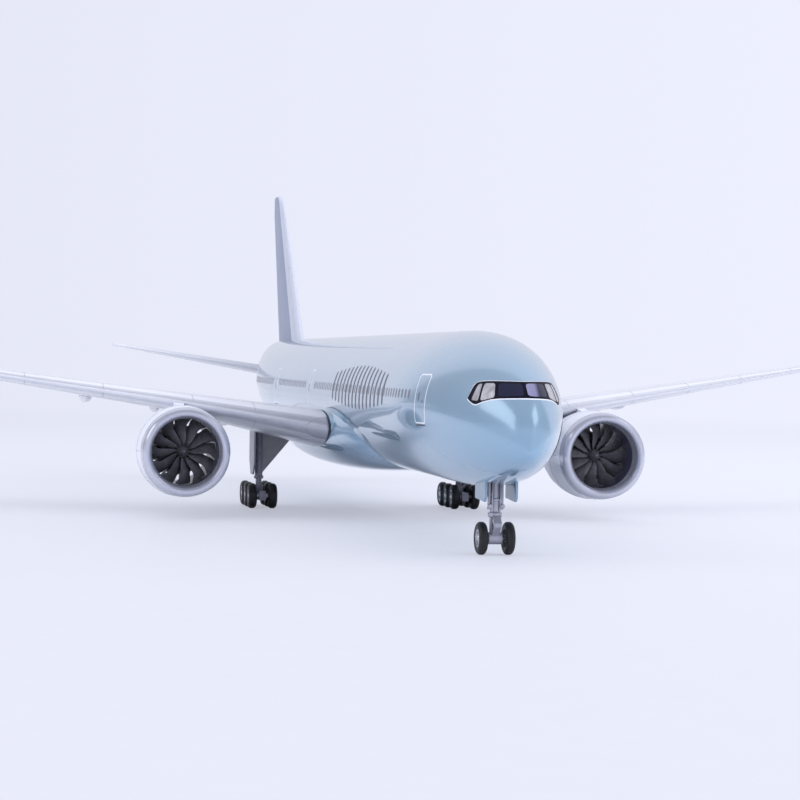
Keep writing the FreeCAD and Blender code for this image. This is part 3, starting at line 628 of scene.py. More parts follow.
RAKE, TIP = 28.6, 32.4
WING_SECTIONS = [(1.2, wing_edge(1.2), 15.2, 0.135, 2.5), (ROOT, ROOT_EDGE, 13.6, 0.135, 2.4),
                 (KINK, wing_edge(KINK), 9.0, 0.108, 1.2), (MID, wing_edge(MID), 5.9, 0.100, 0.4),
                 (RAKE, wing_edge(RAKE), 2.80, 0.095, -0.4)]
for share in (0.35, 0.65, 0.88, 1.0):
    WING_SECTIONS.append((RAKE + (TIP - RAKE) * share,
                          wing_edge(RAKE) + (TIP - RAKE) * (0.75 * share + 0.45 * share ** 2),
                          2.80 - 2.40 * share ** 1.5, 0.095, -0.5))


def half_thickness(x, ratio, chord):
    """Half-thickness of a symmetric section at a share x of its chord, with a blunt trailing edge."""
    half = 5 * ratio * (0.2969 * math.sqrt(x) - 0.1260 * x - 0.3516 * x ** 2 + 0.2843 * x ** 3
                        - 0.1015 * x ** 4) * chord
    return max(half, 0.0) + 0.012 * x


def section_point(section, x, upper, shrink=0.0):
    """Full-size point of one wing section at a share x of its chord."""
    span, edge, chord, ratio, incidence = section
    half = half_thickness(x, ratio, chord) - shrink
    camber = 0.06 * ratio * chord * 4 * x * (1 - x)
    rise = camber + (half if upper else -half)
    turn = math.radians(incidence)
    aft = x * chord
    return Vector((span, edge + aft * math.cos(turn) + rise * math.sin(turn),
                   wing_height(span) - aft * math.sin(turn) + rise * math.cos(turn)))


def wing_point(span, x, upper, shrink=0.0):
    for inner, outer in zip(WING_SECTIONS[:-1], WING_SECTIONS[1:]):
        if span <= outer[0] + 1e-9:
            t = (span - inner[0]) / (outer[0] - inner[0])
            a, b = section_point(inner, x, upper, shrink), section_point(outer, x, upper, shrink)
            return a + (b - a) * t
    raise ValueError("span beyond the tip")


def wing_at(span, x, upper, side):
    """Frame point and outward normal of the wing skin."""
    here = wing_point(span, x, upper)
    out = wing_point(min(span + 0.05, TIP), x, upper) - wing_point(max(span - 0.05, 1.25), x, upper)
    aft = wing_point(span, min(x + 0.004, 1.0), upper) - wing_point(span, max(x - 0.004, 0.0), upper)
    normal = out.cross(aft).normalized()
    if (normal.z > 0) != upper:
        normal = -normal
    return place(side * here.x, here.y, here.z), Vector((side * normal.x, normal.y, normal.z))


def chord_shares(count):
    return [0.5 * (1 - math.cos(math.pi * i / count)) for i in range(count + 1)]


def wing_rows(spans, side, shrink=0.0):
    shares = chord_shares(CHORD_STEPS)
    rows = []
    for span in spans:
        loop = [wing_point(span, x, True, shrink if 0 < x < 1 else 0) for x in reversed(shares)]
        loop += [wing_point(span, x, False, shrink if 0 < x < 1 else 0) for x in shares[1:]]
        row = [place(side * p.x, p.y, p.z) for p in loop]
        rows.append(row if side > 0 else row[::-1])
    return rows


def mark_leading_edge(shape, count, middle, reach):
    """Gives the strip round the leading edge the bare metal finish."""
    for f, face in enumerate(shape.faces):
        if len(face) == 4 and all(abs(v % count - middle) <= reach for v in face):
            shape.kinds[f] = 1


ROOT_GAP = 0.055
CHORD_STEPS = 34
for word, side in SIDES:
    stub = Shape()
    stub.grid(wing_rows([1.2, 2.0, 2.8, ROOT - ROOT_GAP], side), wrap=True, caps=True)
    stub.piece(f"wing_root_fairing_{word}", PAINT, replaces=("belly_block",))
    # A near-black fill set back inside the real wing-root gap, as painted shade.
    plug = Shape()
    plug.grid(wing_rows([ROOT - 0.2, ROOT + 0.2], side, shrink=0.05), wrap=True, caps=True)
    plug.piece(f"wing_root_gap_shade_{word}", GAP_SHADE)

    spans = [ROOT + ROOT_GAP] + [ROOT + 0.35 + (KINK - ROOT - 0.35) * i / 12 for i in range(13)]
    spans += [KINK + 9.2 * i / 12 for i in range(1, 13)] + [MID + 9.2 * i / 12 for i in range(1, 13)]
    spans += [RAKE + (TIP - RAKE) * i / 20 for i in range(1, 21)]
    rows = wing_rows(spans, side)
    wing = Shape()
    wing.grid(rows, wrap=True, caps=True)
    mark_leading_edge(wing, len(rows[0]), CHORD_STEPS, 4)
    wing.piece(f"wing_{word}_skin", [WING, WING_EDGE], replaces=(f"wing_{word}",))


def lens_edge(span):
    """Half-height of the landing-light lens at a span."""
    return 0.52 * math.sqrt(max(0.0, 1.0 - ((span - ROOT) / 1.0) ** 2))


def share_at_height(span, height, upper):
    low, high = 0.0, 0.12
    for _ in range(30):
        x = (low + high) / 2
        if (wing_point(span, x, upper).z < height) == upper:
            low = x
        else:
            high = x
    return low


lens = Shape()
lens_lines = Shape()
for word, side in SIDES:
    rows = []
    upper_edge, lower_edge = [], []
    for i in range(17):
        span = ROOT + ROOT_GAP + 0.01 + (0.985 - ROOT_GAP) * math.sin(math.radians(90 * i / 16))
        top = share_at_height(span, wing_height(ROOT) + lens_edge(span), True)
        bottom = share_at_height(span, wing_height(ROOT) - lens_edge(span), False)
        row = []
        for j in range(-12, 13):
            x = (top if j > 0 else bottom) * (abs(j) / 12.0) ** 2
            p, n = wing_at(span, max(x, 1e-4), j >= 0, side)
            row.append(p + n * (0.03 * MM))
        rows.append(row)
        upper_edge.append(wing_at(span, max(top, 1e-4), True, side))
        lower_edge.append(wing_at(span, max(bottom, 1e-4), False, side))
    lens.grid(rows)
    ribbon(lens_lines, upper_edge + lower_edge[::-1], 0.28 * MM, 0.045 * MM)
lens.piece("landing_light_lens", WING_EDGE, replaces=("landing_light_lenses",),
           solid=0.05 * MM)
lens_lines.piece("landing_light_seal", PANEL_LINE)


FINE_LINE = 0.14 * MM

# panel lines of slats, flaps and ailerons, on both faces of each wing
for word, side in SIDES:
    lines = Shape()
    for upper in (True, False):
        for x, first, last in ((0.13, 4.2, 31.0), (0.70, 4.2, 26.8), (0.58, 11.0, 19.0)):
            path = [wing_at(lerp(first, last, i / 40), x, upper, side) for i in range(41)]
            ribbon(lines, path, FINE_LINE)
        flap_ends = [(span, 0.58 if span == 19.0 else 0.70, 0.985) for span in (4.2, 9.3, 11.0, 19.0, 26.8)]
        slat_ends = [(span, 0.01, 0.13) for span in (6.6, 9.4, 13.6, 17.4, 21.2, 25.0, 28.6)]
        for span, front, back in flap_ends + slat_ends:
            path = [wing_at(span, lerp(front, back, i / 12), upper, side) for i in range(13)]
            ribbon(lines, path, FINE_LINE)
    lines.piece(f"wing_{word}_panel_lines", PANEL_LINE)


# ---------------------------------------------------------------- tail

TAIL_STEPS = 26


def tail_loop(edge, chord, ratio):
    """(station, half-thickness) pairs round a symmetric section."""
    loop = []
    for sign in (1, -1):
        shares = chord_shares(TAIL_STEPS)
        for x in (reversed(shares) if sign > 0 else shares[1:]):
            loop.append((edge + x * chord, sign * half_thickness(x, ratio, chord)))
    return loop


FIN_RATIO, STABILISER_RATIO = 0.095, 0.08
# (height, leading edge, chord) and (span, leading edge, height, chord)
FIN_SECTIONS = ((8.2, 58.6, 10.6), (9.2, 59.7, 9.7), (17.5, 68.0, 4.75), (18.3, 69.0, 3.75),
                (18.6, 69.75, 3.00), (18.70, 70.5, 2.20))
STABILISER_SECTIONS = ((0.6, 61.9, 7.03, 7.9), (2.2, 63.3, 7.25, 7.2), (9.9, 70.0, 8.55, 3.15),
                       (10.5, 70.65, 8.65, 2.85), (10.76, 71.35, 8.69, 2.50))


def between(sections, value):
    """Section interpolated at a value of its first number."""
    for a, b in zip(sections[:-1], sections[1:]):
        if value <= b[0] + 1e-9:
            t = (value - a[0]) / (b[0] - a[0])
            return tuple(lerp(p, q, t) for p, q in zip(a, b))
    return sections[-1]


def fin_at(height, x, side):
    """Frame point and normal of the fin skin."""
    def flat(z, share):
        _, edge, chord = between(FIN_SECTIONS, z)
        return Vector((side * half_thickness(share, FIN_RATIO, chord), edge + share * chord, z))

    here = flat(height, x)
    up = flat(height + 0.05, x) - flat(height - 0.05, x)
    aft = flat(height, x + 0.01) - flat(height, max(x - 0.01, 0.0))
    normal = up.cross(aft).normalized()
    if normal.x * side < 0:
        normal = -normal
    return place(*here), normal


fin = Shape()
rows = []
heights = [8.45 + (17.5 - 8.45) * i / 16 for i in range(17)]
heights += [17.9, 18.1, 18.3, 18.4, 18.5, 18.6, 18.65, 18.70]
for z in heights:
    _, edge, chord = between(FIN_SECTIONS, z)
    rows.append([place(half, station, z) for station, half in tail_loop(edge, chord, FIN_RATIO)])
fin.grid(rows, wrap=True, caps=True)
mark_leading_edge(fin, len(rows[0]), TAIL_STEPS, 6)
fin.piece("fin_skin", [FIN_PAINT, FIN_EDGE], replaces=("fin",))

# the rudder's hinge line on both sides
hinges = Shape()
for side in (1, -1):
    hinge = [fin_at(lerp(9.4, 18.0, i / 24), 0.70, side) for i in range(25)]
    ribbon(hinges, hinge, FINE_LINE, 0.02 * MM)
hinges.piece("fin_lines", PANEL_LINE)

for word, side in SIDES:
    plane = Shape()
    rows = []
    for span in [1.35 + (9.9 - 1.35) * i / 14 for i in range(15)] + [10.2, 10.5, 10.6, 10.7, 10.76]:
        _, edge, z, chord = between(STABILISER_SECTIONS, span)
        loop = tail_loop(edge, chord, STABILISER_RATIO)
        row = [place(side * span, station, z + half) for station, half in loop]
        rows.append(row if side > 0 else row[::-1])
    plane.grid(rows, wrap=True, caps=True)
    plane.piece(f"stabiliser_{word}_skin", WING, replaces=(f"stabiliser_{word}",))


# ---------------------------------------------------------------- flight-deck windows

PIVOT_STATION = 4.5


def nose_at(turn, height, side=1):
    """Skin point and normal where a level ray from inside the nose leaves it, turn degrees off the middle."""
    a = math.radians(turn)
    low, high = 0.3, 6.5
    for _ in range(40):
        reach = (low + high) / 2
        span, station = reach * math.sin(a), PIVOT_STATION - reach * math.cos(a)
        inside = False
        if station > 0.001:
            half_width, crown, keel, waist = body_section(station)
            rise = height - centre_line(station) - waist
            tall = crown - waist if rise > 0 else waist - keel
            inside = (span / half_width) ** 2 + (rise / tall) ** 2 < 1.0
        if inside:
            low = reach
        else:
            high = reach
    station = PIVOT_STATION - low * math.cos(a)
    return skin_at(station, height, side)


def nose_patch(shape, corners, side, lift, kind=0, roundness=7.0, count=40, rings=6):
    """Patch on the nose with soft corners, given as (turn, height) anticlockwise from rear bottom."""
    (ax, ay), (bx, by), (cx, cy), (dx, dy) = corners
    rows = []
    for r in range(rings, -1, -1):
        row = []
        for k in range(count):
            a = 2 * math.pi * k / count
            c, s = math.cos(a), math.sin(a)
            reach = (abs(c) ** roundness + abs(s) ** roundness) ** (-1.0 / roundness) * r / rings
            u, v = (c * reach + 1) / 2, (s * reach + 1) / 2
            turn = (ax * (1 - u) + bx * u) * (1 - v) + (dx * (1 - u) + cx * u) * v
            z = (ay * (1 - u) + by * u) * (1 - v) + (dy * (1 - u) + cy * u) * v
            p, n = nose_at(abs(turn), z, side if turn >= 0 else -side)
            row.append((p + n * lift, p - n * lift))
        rows.append(row)
    edge = [below for _, below in rows[0]]
    shape.grid([edge] + [[top for top, _ in row] for row in rows], wrap=True, kind=kind)


def band_edges(grow=0.0):
    """Bottom and top of the glazed band as (turn, height) runs from dead ahead to the rear."""
    bottom = [(0.0, 6.13), (8.0, 6.12), (16.0, 6.10), (22.0, 6.06), (28.0, 5.98), (34.5, 5.87), (38.0, 5.88),
              (43.0, 5.97), (47.2, 6.08)]
    top = [(0.0, 6.73), (8.0, 6.735), (16.0, 6.74), (22.0, 6.74), (28.0, 6.735), (33.0, 6.72), (36.5, 6.70),
           (39.5, 6.66), (42.0, 6.56)]
    low = [(t + (grow * 14 if i == len(bottom) - 1 else grow * 4 * i / 8), z - grow)
           for i, (t, z) in enumerate(bottom)]
    high = [(t + (grow * 14 if i == len(top) - 1 else grow * 4 * i / 8), z + 0.5 * grow)
            for i, (t, z) in enumerate(top)]
    return low, high


def band(shape, lift, grow, kind=0):
    bottom, top = band_edges(grow)
    columns = []
    for side in (-1, 1):
        order = range(len(bottom) - 1, 0, -1) if side < 0 else range(len(bottom))
        for i in order:
            columns.append((side, bottom[i], top[i]))
    fine = []
    for (s0, b0, t0), (s1, b1, t1) in zip(columns[:-1], columns[1:]):
        for k in range(4):
            f = k / 4
            fine.append(((lerp(s0 * b0[0], s1 * b1[0], f), lerp(b0[1], b1[1], f)),
                         (lerp(s0 * t0[0], s1 * t1[0], f), lerp(t0[1], t1[1], f))))
    s, b, t = columns[-1]
    fine.append(((s * b[0], b[1]), (s * t[0], t[1])))
    rows = []
    for low, high in fine:
        row = []
        for k in range(13):
            f = k / 12
            turn, z = lerp(low[0], high[0], f), lerp(low[1], high[1], f)
            p, n = nose_at(abs(turn), z, 1 if turn >= 0 else -1)
            row.append(p + n * lift)
        rows.append(row)
    shape.grid(rows, kind=kind)


surround = Shape()
band(surround, 0.03 * MM, 0.045)
surround.piece("windscreen_outline", WHITE, solid=0.06 * MM)
black = Shape()
band(black, 0.06 * MM, 0.0)
black.piece("windscreen_frame", FRAME_BLACK, replaces=("flight_deck_windows",),
            solid=0.10 * MM)
panes = Shape()
for side in (1, -1):
    nose_patch(panes, ((16.6, 6.17), (1.1, 6.20), (1.1, 6.66), (17.0, 6.66)), side, 0.10 * MM, kind=1)
    nose_patch(panes, ((31.0, 5.99), (19.0, 6.13), (19.4, 6.66), (29.6, 6.65)), side, 0.10 * MM, kind=0)
    nose_patch(panes, ((41.5, 6.02), (33.2, 5.99), (31.6, 6.64), (36.4, 6.61)), side, 0.10 * MM, kind=0)
panes.piece("windscreen_panes", [PANE_SIDE, PANE_FRONT])


# ---------------------------------------------------------------- cabin windows, doors and plain livery

WINDOW_PITCH = 0.533
DOOR_STATIONS = (6.99, 34.6, 47.6, 61.3)
WINDOW_RISE = 0.50
PRINT = 0.02 * MM
BARS, BAR_PITCH, BAR_AFT = 15, 0.95, 26.9

for word, side in SIDES:
    windows = Shape()
    station = 8.5
    while station < 64.0:
        clear = all(abs(station - d) > 1.15 for d in DOOR_STATIONS)
        if clear:
            z = centre_line(station) + WINDOW_RISE + 0.0015 * station
            outline = rounded_box(station - 0.135, z - 0.19, station + 0.135, z + 0.19, 0.12, 4)
            hull_patch(windows, outline, side, PRINT, rings=1)
        station += WINDOW_PITCH
    for d in DOOR_STATIONS:
        z = centre_line(d) + 0.42
        pane = rounded_box(d + 0.12, z - 0.17, d + 0.26, z + 0.17, 0.06, 4)
        handle = rounded_box(d - 0.30, z - 0.22, d - 0.18, z - 0.12, 0.045, 4)
        for outline in (pane, handle):
            hull_patch(windows, outline, side, PRINT, rings=1)
    windows.piece(f"cabin_windows_{word}", WINDOW)

    doors = Shape()
    for i, d in enumerate(DOOR_STATIONS):
        base = centre_line(d) - 0.60
        half = 0.60 if i != 1 else 0.45
        outline = rounded_box(d - half, base, d + half, base + 1.90, 0.14)
        path = [skin_at(s, z, side) for s, z in dense(outline, 0.15)]
        ribbon(doors, path, 0.34 * MM, 0.03 * MM, close=True)
        sill = hull_path(((d - half + 0.05, base - 0.09), (d + half - 0.05, base - 0.09)), side)
        ribbon(doors, sill, 0.40 * MM, 0.03 * MM, kind=1)
    doors.piece(f"door_outlines_{word}", [WHITE, SLATE])

    # plain pattern in place of titles: slim slate bars of swelling height
    bars = Shape()
    for k in range(BARS):
        s = BAR_AFT - k * BAR_PITCH
        swell = math.sin(math.pi * (k + 0.5) / BARS)
        centre = centre_line(s) + 0.62
        tall = 0.62 + 0.36 * swell
        outline = rounded_box(s - 0.16, centre - tall, s + 0.16, centre + tall, 0.155, 5)
        hull_patch(bars, outline, side, 0.03 * MM, rings=4)
    bars.piece(f"livery_bars_{word}", SLATE)


# ---------------------------------------------------------------- engines

ENGINE_SPAN, ENGINE_HEIGHT = 10.09, 3.15
INLET, LIP_DEPTH, NOZZLE, FAN_STATION = 25.75, 0.75, 31.9, 27.75
OUTER, INNER = 2.06, 1.62
AFT = Vector((0, 1, 0))
RIM_STEPS = 144


def cowl_outline(count=48):
    start = INLET + LIP_DEPTH
    outline = []
    for i in range(count + 1):
        u = i / count
        swell = 0.07 * math.sin(math.pi * min(1.0, 1.25 * u))
        taper = 0.92 * max(0.0, u - 0.35) ** 1.6
        outline.append((OUTER + 0.05 + swell - taper, start + (NOZZLE - start) * u))
    return outline


def turned(profile):
    """Full-size (radius, station) profile as metres of the model measured from the middle."""
    return scaled([(r, s - MIDDLE_STATION) for r, s in profile])


BLADES = 12


def fan_blade(shape, centre, index, hand):
    """One broad, swept and twisted blade as a thin closed skin."""
    spread_turn = 2 * math.pi * index / BLADES
    rows = []
    for i in range(13):
        t = i / 12
        radius = lerp(0.24, 1.59, t)
        chord = lerp(0.42, 0.88, t ** 0.8) - 0.13 * math.exp(-((t - 0.72) / 0.13) ** 2)
        stagger = math.radians(lerp(28.0, 60.0, t ** 0.9))
        lean = math.radians(hand * 13.0 * math.sin(math.pi * t) * 0.6)
        sweep = -0.10 * math.sin(math.pi * t)
        section = []
        for sign in (1, -1):
            for k in range(9):
                x = (k / 8 if sign > 0 else 1 - k / 8) * 2 - 1
                if sign < 0 and k in (0, 8):
                    continue
                thick = (0.028 + 0.02 * (1 - t)) * (1 - x * x) * sign * 0.5
                camber = 0.055 * (1 - x * x)
                section.append((x * chord / 2, camber + thick))
        row = []
        for along, off in section:
            tangential = hand * (along * math.sin(stagger) + off * math.cos(stagger))
            axial = along * math.cos(stagger) - off * math.sin(stagger) + sweep
            turn = spread_turn + lean + tangential / max(radius, 0.5)
            row.append(centre + Vector((radius * math.sin(turn), axial, radius * math.cos(turn))) / SCALE)
        rows.append(row)
    shape.grid(rows, wrap=True, caps=True)


for word, side in SIDES:
    axis = place(side * ENGINE_SPAN, MIDDLE_STATION, ENGINE_HEIGHT)
    middle, swell = (OUTER + INNER) / 2, (OUTER - INNER) / 2
    lip = Shape()
    ring = []
    for k in range(25):
        a = math.radians(7.5 * k)
        ring.append((middle - swell * math.cos(a), INLET + 1.5 * swell * (1 - math.sin(a))))
    back = INLET + LIP_DEPTH - 0.012
    ring += [(OUTER + 0.048, back), (INNER - 0.05, back)]
    lip.lathe(turned(ring), axis, AFT, RIM_STEPS, closed=True)
    # the rings of faces next to the duct get a darker copy of the lip metal, as painted shade inside the
    # intake
    for f in range(10 * RIM_STEPS):
        lip.kinds[f] = 1
    lip.piece(f"inlet_lip_{word}_ring", [LIP, LIP_SHADED], replaces=(f"inlet_lip_{word}",))

    duct = Shape()
    start, end = INLET + LIP_DEPTH, FAN_STATION + 0.55
    duct.lathe(turned([(1.57, start), (1.70, start), (1.76, end), (1.62, end), (1.62, FAN_STATION - 0.3),
                       (1.60, 27.0)]), axis, AFT, 128, closed=True)
    duct.piece(f"inlet_duct_{word}_liner", DUCT, replaces=(f"inlet_duct_{word}",))

    cowl = Shape()
    outer = cowl_outline()
    inner = [(outer[-1][0] - 0.10, NOZZLE), (1.70, 29.6), (1.76, end), (1.70, start)]
    cowl.lathe(turned(outer + inner), axis, AFT, RIM_STEPS, closed=True)
    cowl.piece(f"nacelle_{word}_cowl", NACELLE, replaces=(f"nacelle_cowl_{word}",))

    seams = Shape()
    for station in (28.15, 30.0):
        radius = min(outer, key=lambda p: abs(p[1] - station))[0]
        seams.lathe(turned([(radius - 0.012, station - 0.012), (radius + 0.006, station - 0.010),
                            (radius + 0.006, station + 0.010), (radius - 0.012, station + 0.012)]),
                    axis, AFT, RIM_STEPS, closed=True)
    for turn in (0.0, 90.0, 270.0):
        a = math.radians(turn - 90.0)
        n = Vector((math.cos(a), 0, math.sin(a)))
        path = [(axis + AFT * ((s - MIDDLE_STATION) / SCALE) + n * (r / SCALE), n) for r, s in outer[3:-2]]
        ribbon(seams, path, 0.13 * MM, 0.015 * MM)
    seams.piece(f"nacelle_{word}_seams", PANEL_LINE)

    core = Shape()
    front = FAN_STATION + 0.62
    core.lathe(turned([(0, front), (0.70, front), (0.82, front + 0.22), (0.95, front + 0.5), (1.12, 29.5),
                       (1.22, 30.2), (1.235, 31.0), (1.18, 31.9), (1.00, 32.9), (0.80, 33.9), (0.66, 33.9),
                       (0.66, 33.5), (0, 33.5)]), axis, AFT, 96)
    for a in turns(10):
        n = Vector((math.sin(a), 0, math.cos(a)))
        t = Vector((math.cos(a), 0, -math.sin(a)))
        centre = axis + AFT * ((front + 0.25 - MIDDLE_STATION) / SCALE)
        rows = []
        for radius in (0.62, 1.0, 1.4, 1.74):
            rows.append([centre + (n * radius + t * y + AFT * x) / SCALE for x, y in
                         ((0.0, 0.0), (0.3, 0.05), (0.8, 0.05), (1.3, 0.0), (0.8, -0.05), (0.3, -0.05))])
        core.grid(rows, wrap=True, caps=True)
    core.piece(f"core_{word}_cowl", CORE, replaces=(f"core_cowl_{word}",))

    plug = Shape()
    plug.lathe(turned([(0, 33.52), (0.655, 33.52), (0.64, 33.8), (0.60, 34.1), (0.50, 34.5), (0.36, 34.9),
                       (0.20, 35.22), (0.08, 35.38), (0, 35.4)]), axis, AFT, 72)
    plug.piece(f"exhaust_{word}_plug", CORE, replaces=(f"exhaust_plug_{word}",))

    fan = Shape()
    disc = axis + AFT * ((FAN_STATION + 0.25 - MIDDLE_STATION) / SCALE)
    for k in range(BLADES):
        fan_blade(fan, disc, k, side)
    fan.lathe(turned([(0, FAN_STATION - 0.55), (0.05, FAN_STATION - 0.53), (0.10, FAN_STATION - 0.46),
                      (0.17, FAN_STATION - 0.32), (0.23, FAN_STATION - 0.18), (0.285, FAN_STATION),
                      (0.31, FAN_STATION + 0.25), (0.32, FAN_STATION + 0.50), (0.14, FAN_STATION + 0.50),
                      (0.14, FAN_STATION + 0.0), (0, FAN_STATION - 0.05)]), axis, AFT, 48)
    fan.piece(f"fan_{word}_rotor", FAN, body=f"fan_{word}",
              replaces=(f"fan_rotor_{word}",), sharp=50.0)

    pods = Shape()
    for span, nose, length, radius, height in ((7.2, 34.8, 5.2, 0.34, 4.52), (10.7, 35.8, 4.4, 0.24, 5.06),
                                               (14.2, 36.6, 4.5, 0.33, 5.59)):
        profile = []
        for i in range(49):
            t = i / 48
            profile.append((radius * math.sin(math.pi * t ** 0.8) ** 0.75 / SCALE if 0 < t < 1 else 0.0,
                            length * t / SCALE))
        pods.lathe(profile, place(side * span, nose, height), AFT, 40)
    pods.piece(f"flap_fairings_{word}", WING, replaces=(f"flap_track_fairings_{word}",))


# ---------------------------------------------------------------- wheels

ACROSS = Vector((1, 0, 0))


def wheel_pair(word, body, span, station, radius, track, width, tyre_node, hub_node):
    """Two grooved tyres and two dished hubs with bolts on their axle."""
    centre = place(span, station, radius)
    hub_radius = radius * 0.56
    half = width / 2
    tyres = Shape()
    hubs = Shape()
    shoulder = width * 0.42
    for sign in (-1, 1):
        middle = centre + ACROSS * (sign * track / SCALE)
        right = []
        for k in range(9):
            a = math.radians(90.0 * k / 8)
            right.append((radius - shoulder * (1 - math.sin(a)), half - shoulder * (1 - math.cos(a))))
        tread = []
        for at in (0.055, -0.055):
            tread += [(radius, at + 0.018), (radius - 0.030, at + 0.012), (radius - 0.030, at - 0.012),
                      (radius, at - 0.018)]
        left = [(r, -x) for r, x in reversed(right)]
        bead = [(hub_radius + 0.05, half * 0.93), (radius * 0.74, half * 1.0)]
        profile = [(hub_radius, half * 0.84)] + bead + right + tread + left
        profile += [(r, -x) for r, x in reversed(bead)] + [(hub_radius, -half * 0.84)]
        tyres.lathe(scaled(profile), middle, ACROSS, 64, closed=True)
        face = half * 0.84 * sign
        inward = -sign
        dish = [(hub_radius * 0.999, -face), (hub_radius * 0.999, face), (hub_radius * 0.90, face),
                (hub_radius * 0.86, face + inward * 0.035), (hub_radius * 0.62, face + inward * 0.075),
                (hub_radius * 0.50, face + inward * 0.06), (hub_radius * 0.34, face + inward * 0.015),
                (hub_radius * 0.30, face), (hub_radius * 0.12, face), (0.0, face)]
        hubs.lathe(scaled(dish), middle, ACROSS, 48)
        for a in turns(8):
            out = Vector((0, math.cos(a), math.sin(a))) * (hub_radius * 0.72 / SCALE)
            start = middle + out + ACROSS * ((face + inward * 0.09) / SCALE)
            hubs.tube([start, middle + out + ACROSS * ((face + inward * 0.02) / SCALE)], 0.028 / SCALE, 8)
    hubs.tube([centre - ACROSS * (track / SCALE), centre + ACROSS * (track / SCALE)], 0.8 * MM, 20)
    tyres.piece(f"tyre_pair_{word}", TYRE, body=body, replaces=(tyre_node,), sharp=40.0)
    hubs.piece(f"wheel_hubs_{word}", HUB, body=body, replaces=(hub_node,))


NOSE_STATION, NOSE_RADIUS = 5.60, 0.64
MAIN_SPAN, MAIN_AXLE, AXLE_PITCH, MAIN_RADIUS = 5.30, 35.60, 1.48, 0.64
wheel_pair("nose", "nose_wheels", 0.0, NOSE_STATION, NOSE_RADIUS, 0.54, 0.36, "nose_tyres", "nose_axle_hubs")
for word, side in SIDES:
    for i, spot in enumerate(PLACES):
        wheel_pair(f"{word}_{spot}", f"main_wheels_{word}_{spot}", side * MAIN_SPAN,
                   MAIN_AXLE + i * AXLE_PITCH, MAIN_RADIUS, 0.52, 0.44, f"tyres_{word}_{spot}",
                   f"axle_hubs_{word}_{spot}")


# ---------------------------------------------------------------- landing gear

UP = Vector((0, 0, 1))


def block(shape, low, high, kind=0):
    """Bar between two full-size (span, station, height) corners; the piece's bevel rounds its edges."""
    (b0, s0, z0), (b1, s1, z1) = low, high
    outline = [place(b0, s0, z0), place(b1, s0, z0), place(b1, s1, z0), place(b0, s1, z0)]
    shape.slab(outline, UP * ((z1 - z0) / SCALE), kind)


leg = Shape()
foot = place(0, NOSE_STATION, 0)
leg.lathe(scaled([(0, 0.80), (0.15, 0.80), (0.15, 1.47), (0, 1.47)]), foot, UP, 32, kind=1)
leg.lathe(scaled([(0, 1.45), (0.24, 1.45), (0.28, 1.49), (0.28, 1.61), (0.24, 1.65), (0.20, 1.68),
                         (0.20, 2.05), (0.225, 2.08), (0.225, 2.18), (0.20, 2.21), (0.20, 3.40),
                         (0.14, 3.44), (0.14, 3.74), (0, 3.74)]), foot, UP, 40)
leg.lathe(scaled([(0.16, -0.29), (0.235, -0.27), (0.235, 0.27), (0.16, 0.29)]),
          place(0, NOSE_STATION, NOSE_RADIUS), ACROSS, 32)
for side in (1, -1):
    near, far = sorted((side * 0.21, side * 0.30))
    block(leg, (near, NOSE_STATION - 0.14, 1.76), (far, NOSE_STATION + 0.06, 2.95))
    near, far = sorted((side * 0.13, side * 0.20))
    block(leg, (near, NOSE_STATION - 0.10, 0.74), (far, NOSE_STATION + 0.10, 1.47))
    leg.tube([place(side * 0.15, NOSE_STATION - 0.20, 1.70), place(side * 0.17, NOSE_STATION - 0.24, 2.4),
              place(side * 0.13, NOSE_STATION - 0.20, 3.2)], 0.035 / SCALE, 8)
    leg.tube([place(side * 0.245, NOSE_STATION - 0.10, 1.90), place(side * 0.245, NOSE_STATION - 0.30, 1.90)],
             0.085 / SCALE, 16)
for height in (1.76, 2.30, 2.83):
    block(leg, (-0.30, NOSE_STATION - 0.10, height), (0.30, NOSE_STATION + 0.04, height + 0.12))
leg.piece("nose_leg_strut", [SILVER, CHROME], replaces=("nose_gear_leg",),
          bevel=0.08 * MM)

for word, side in SIDES:
    foot = place(side * MAIN_SPAN, MAIN_AXLE + AXLE_PITCH, 0)
    leg = Shape()
    leg.lathe(scaled([(0, 0.90), (0.15, 0.90), (0.15, 1.44), (0.22, 1.46), (0.25, 1.50), (0.25, 1.58),
                             (0.20, 1.62), (0.20, 2.40), (0.225, 2.43), (0.225, 2.52), (0.20, 2.55),
                             (0.20, 3.84), (0.15, 3.88), (0.15, 4.20), (0, 4.20)]), foot, UP, 32)
    leg.slab([foot + Vector((x, y, 0.86)) / SCALE for x, y in ((-0.20, -0.34), (0.20, -0.34), (0.20, 0.34),
                                                              (-0.20, 0.34))], UP * (0.26 / SCALE))
    leg.tube([foot + Vector((0, -0.24, 1.55)) / SCALE, foot + Vector((0, -0.52, 1.30)) / SCALE,
              foot + Vector((0, -0.40, 0.98)) / SCALE], 0.06 / SCALE, 10)
    leg.piece(f"main_leg_{word}_strut", STRUT, replaces=(f"main_gear_leg_{word}",))

CARRIED = {"nose_gear_brace": (SILVER, 0.10), "nose_gear_doors": (DOOR, 0.12), "nose_ballast": (IRON, 0.3),
           "stabiliser_rod": (STEEL, 0.08), "wing_spar_rods": (STEEL, 0.08)}
for word, side in SIDES:
    CARRIED["pylon_" + word] = (NACELLE, 0.25)
    CARRIED["fan_axle_" + word] = (STEEL, 0.05)
    CARRIED["main_gear_brace_" + word] = (STRUT_WEB, 0.10)
    CARRIED["main_gear_door_" + word] = (DOOR_GREY, 0.12)
    CARRIED["bogie_beam_" + word] = (STRUT, 0.15)
for name, (material, edge) in CARRIED.items():
    node = NODES[name]
    node.data.materials.clear()
    node.data.materials.append(material)
    soften(node, edge * MM)


# ---------------------------------------------------------------- studio and camera

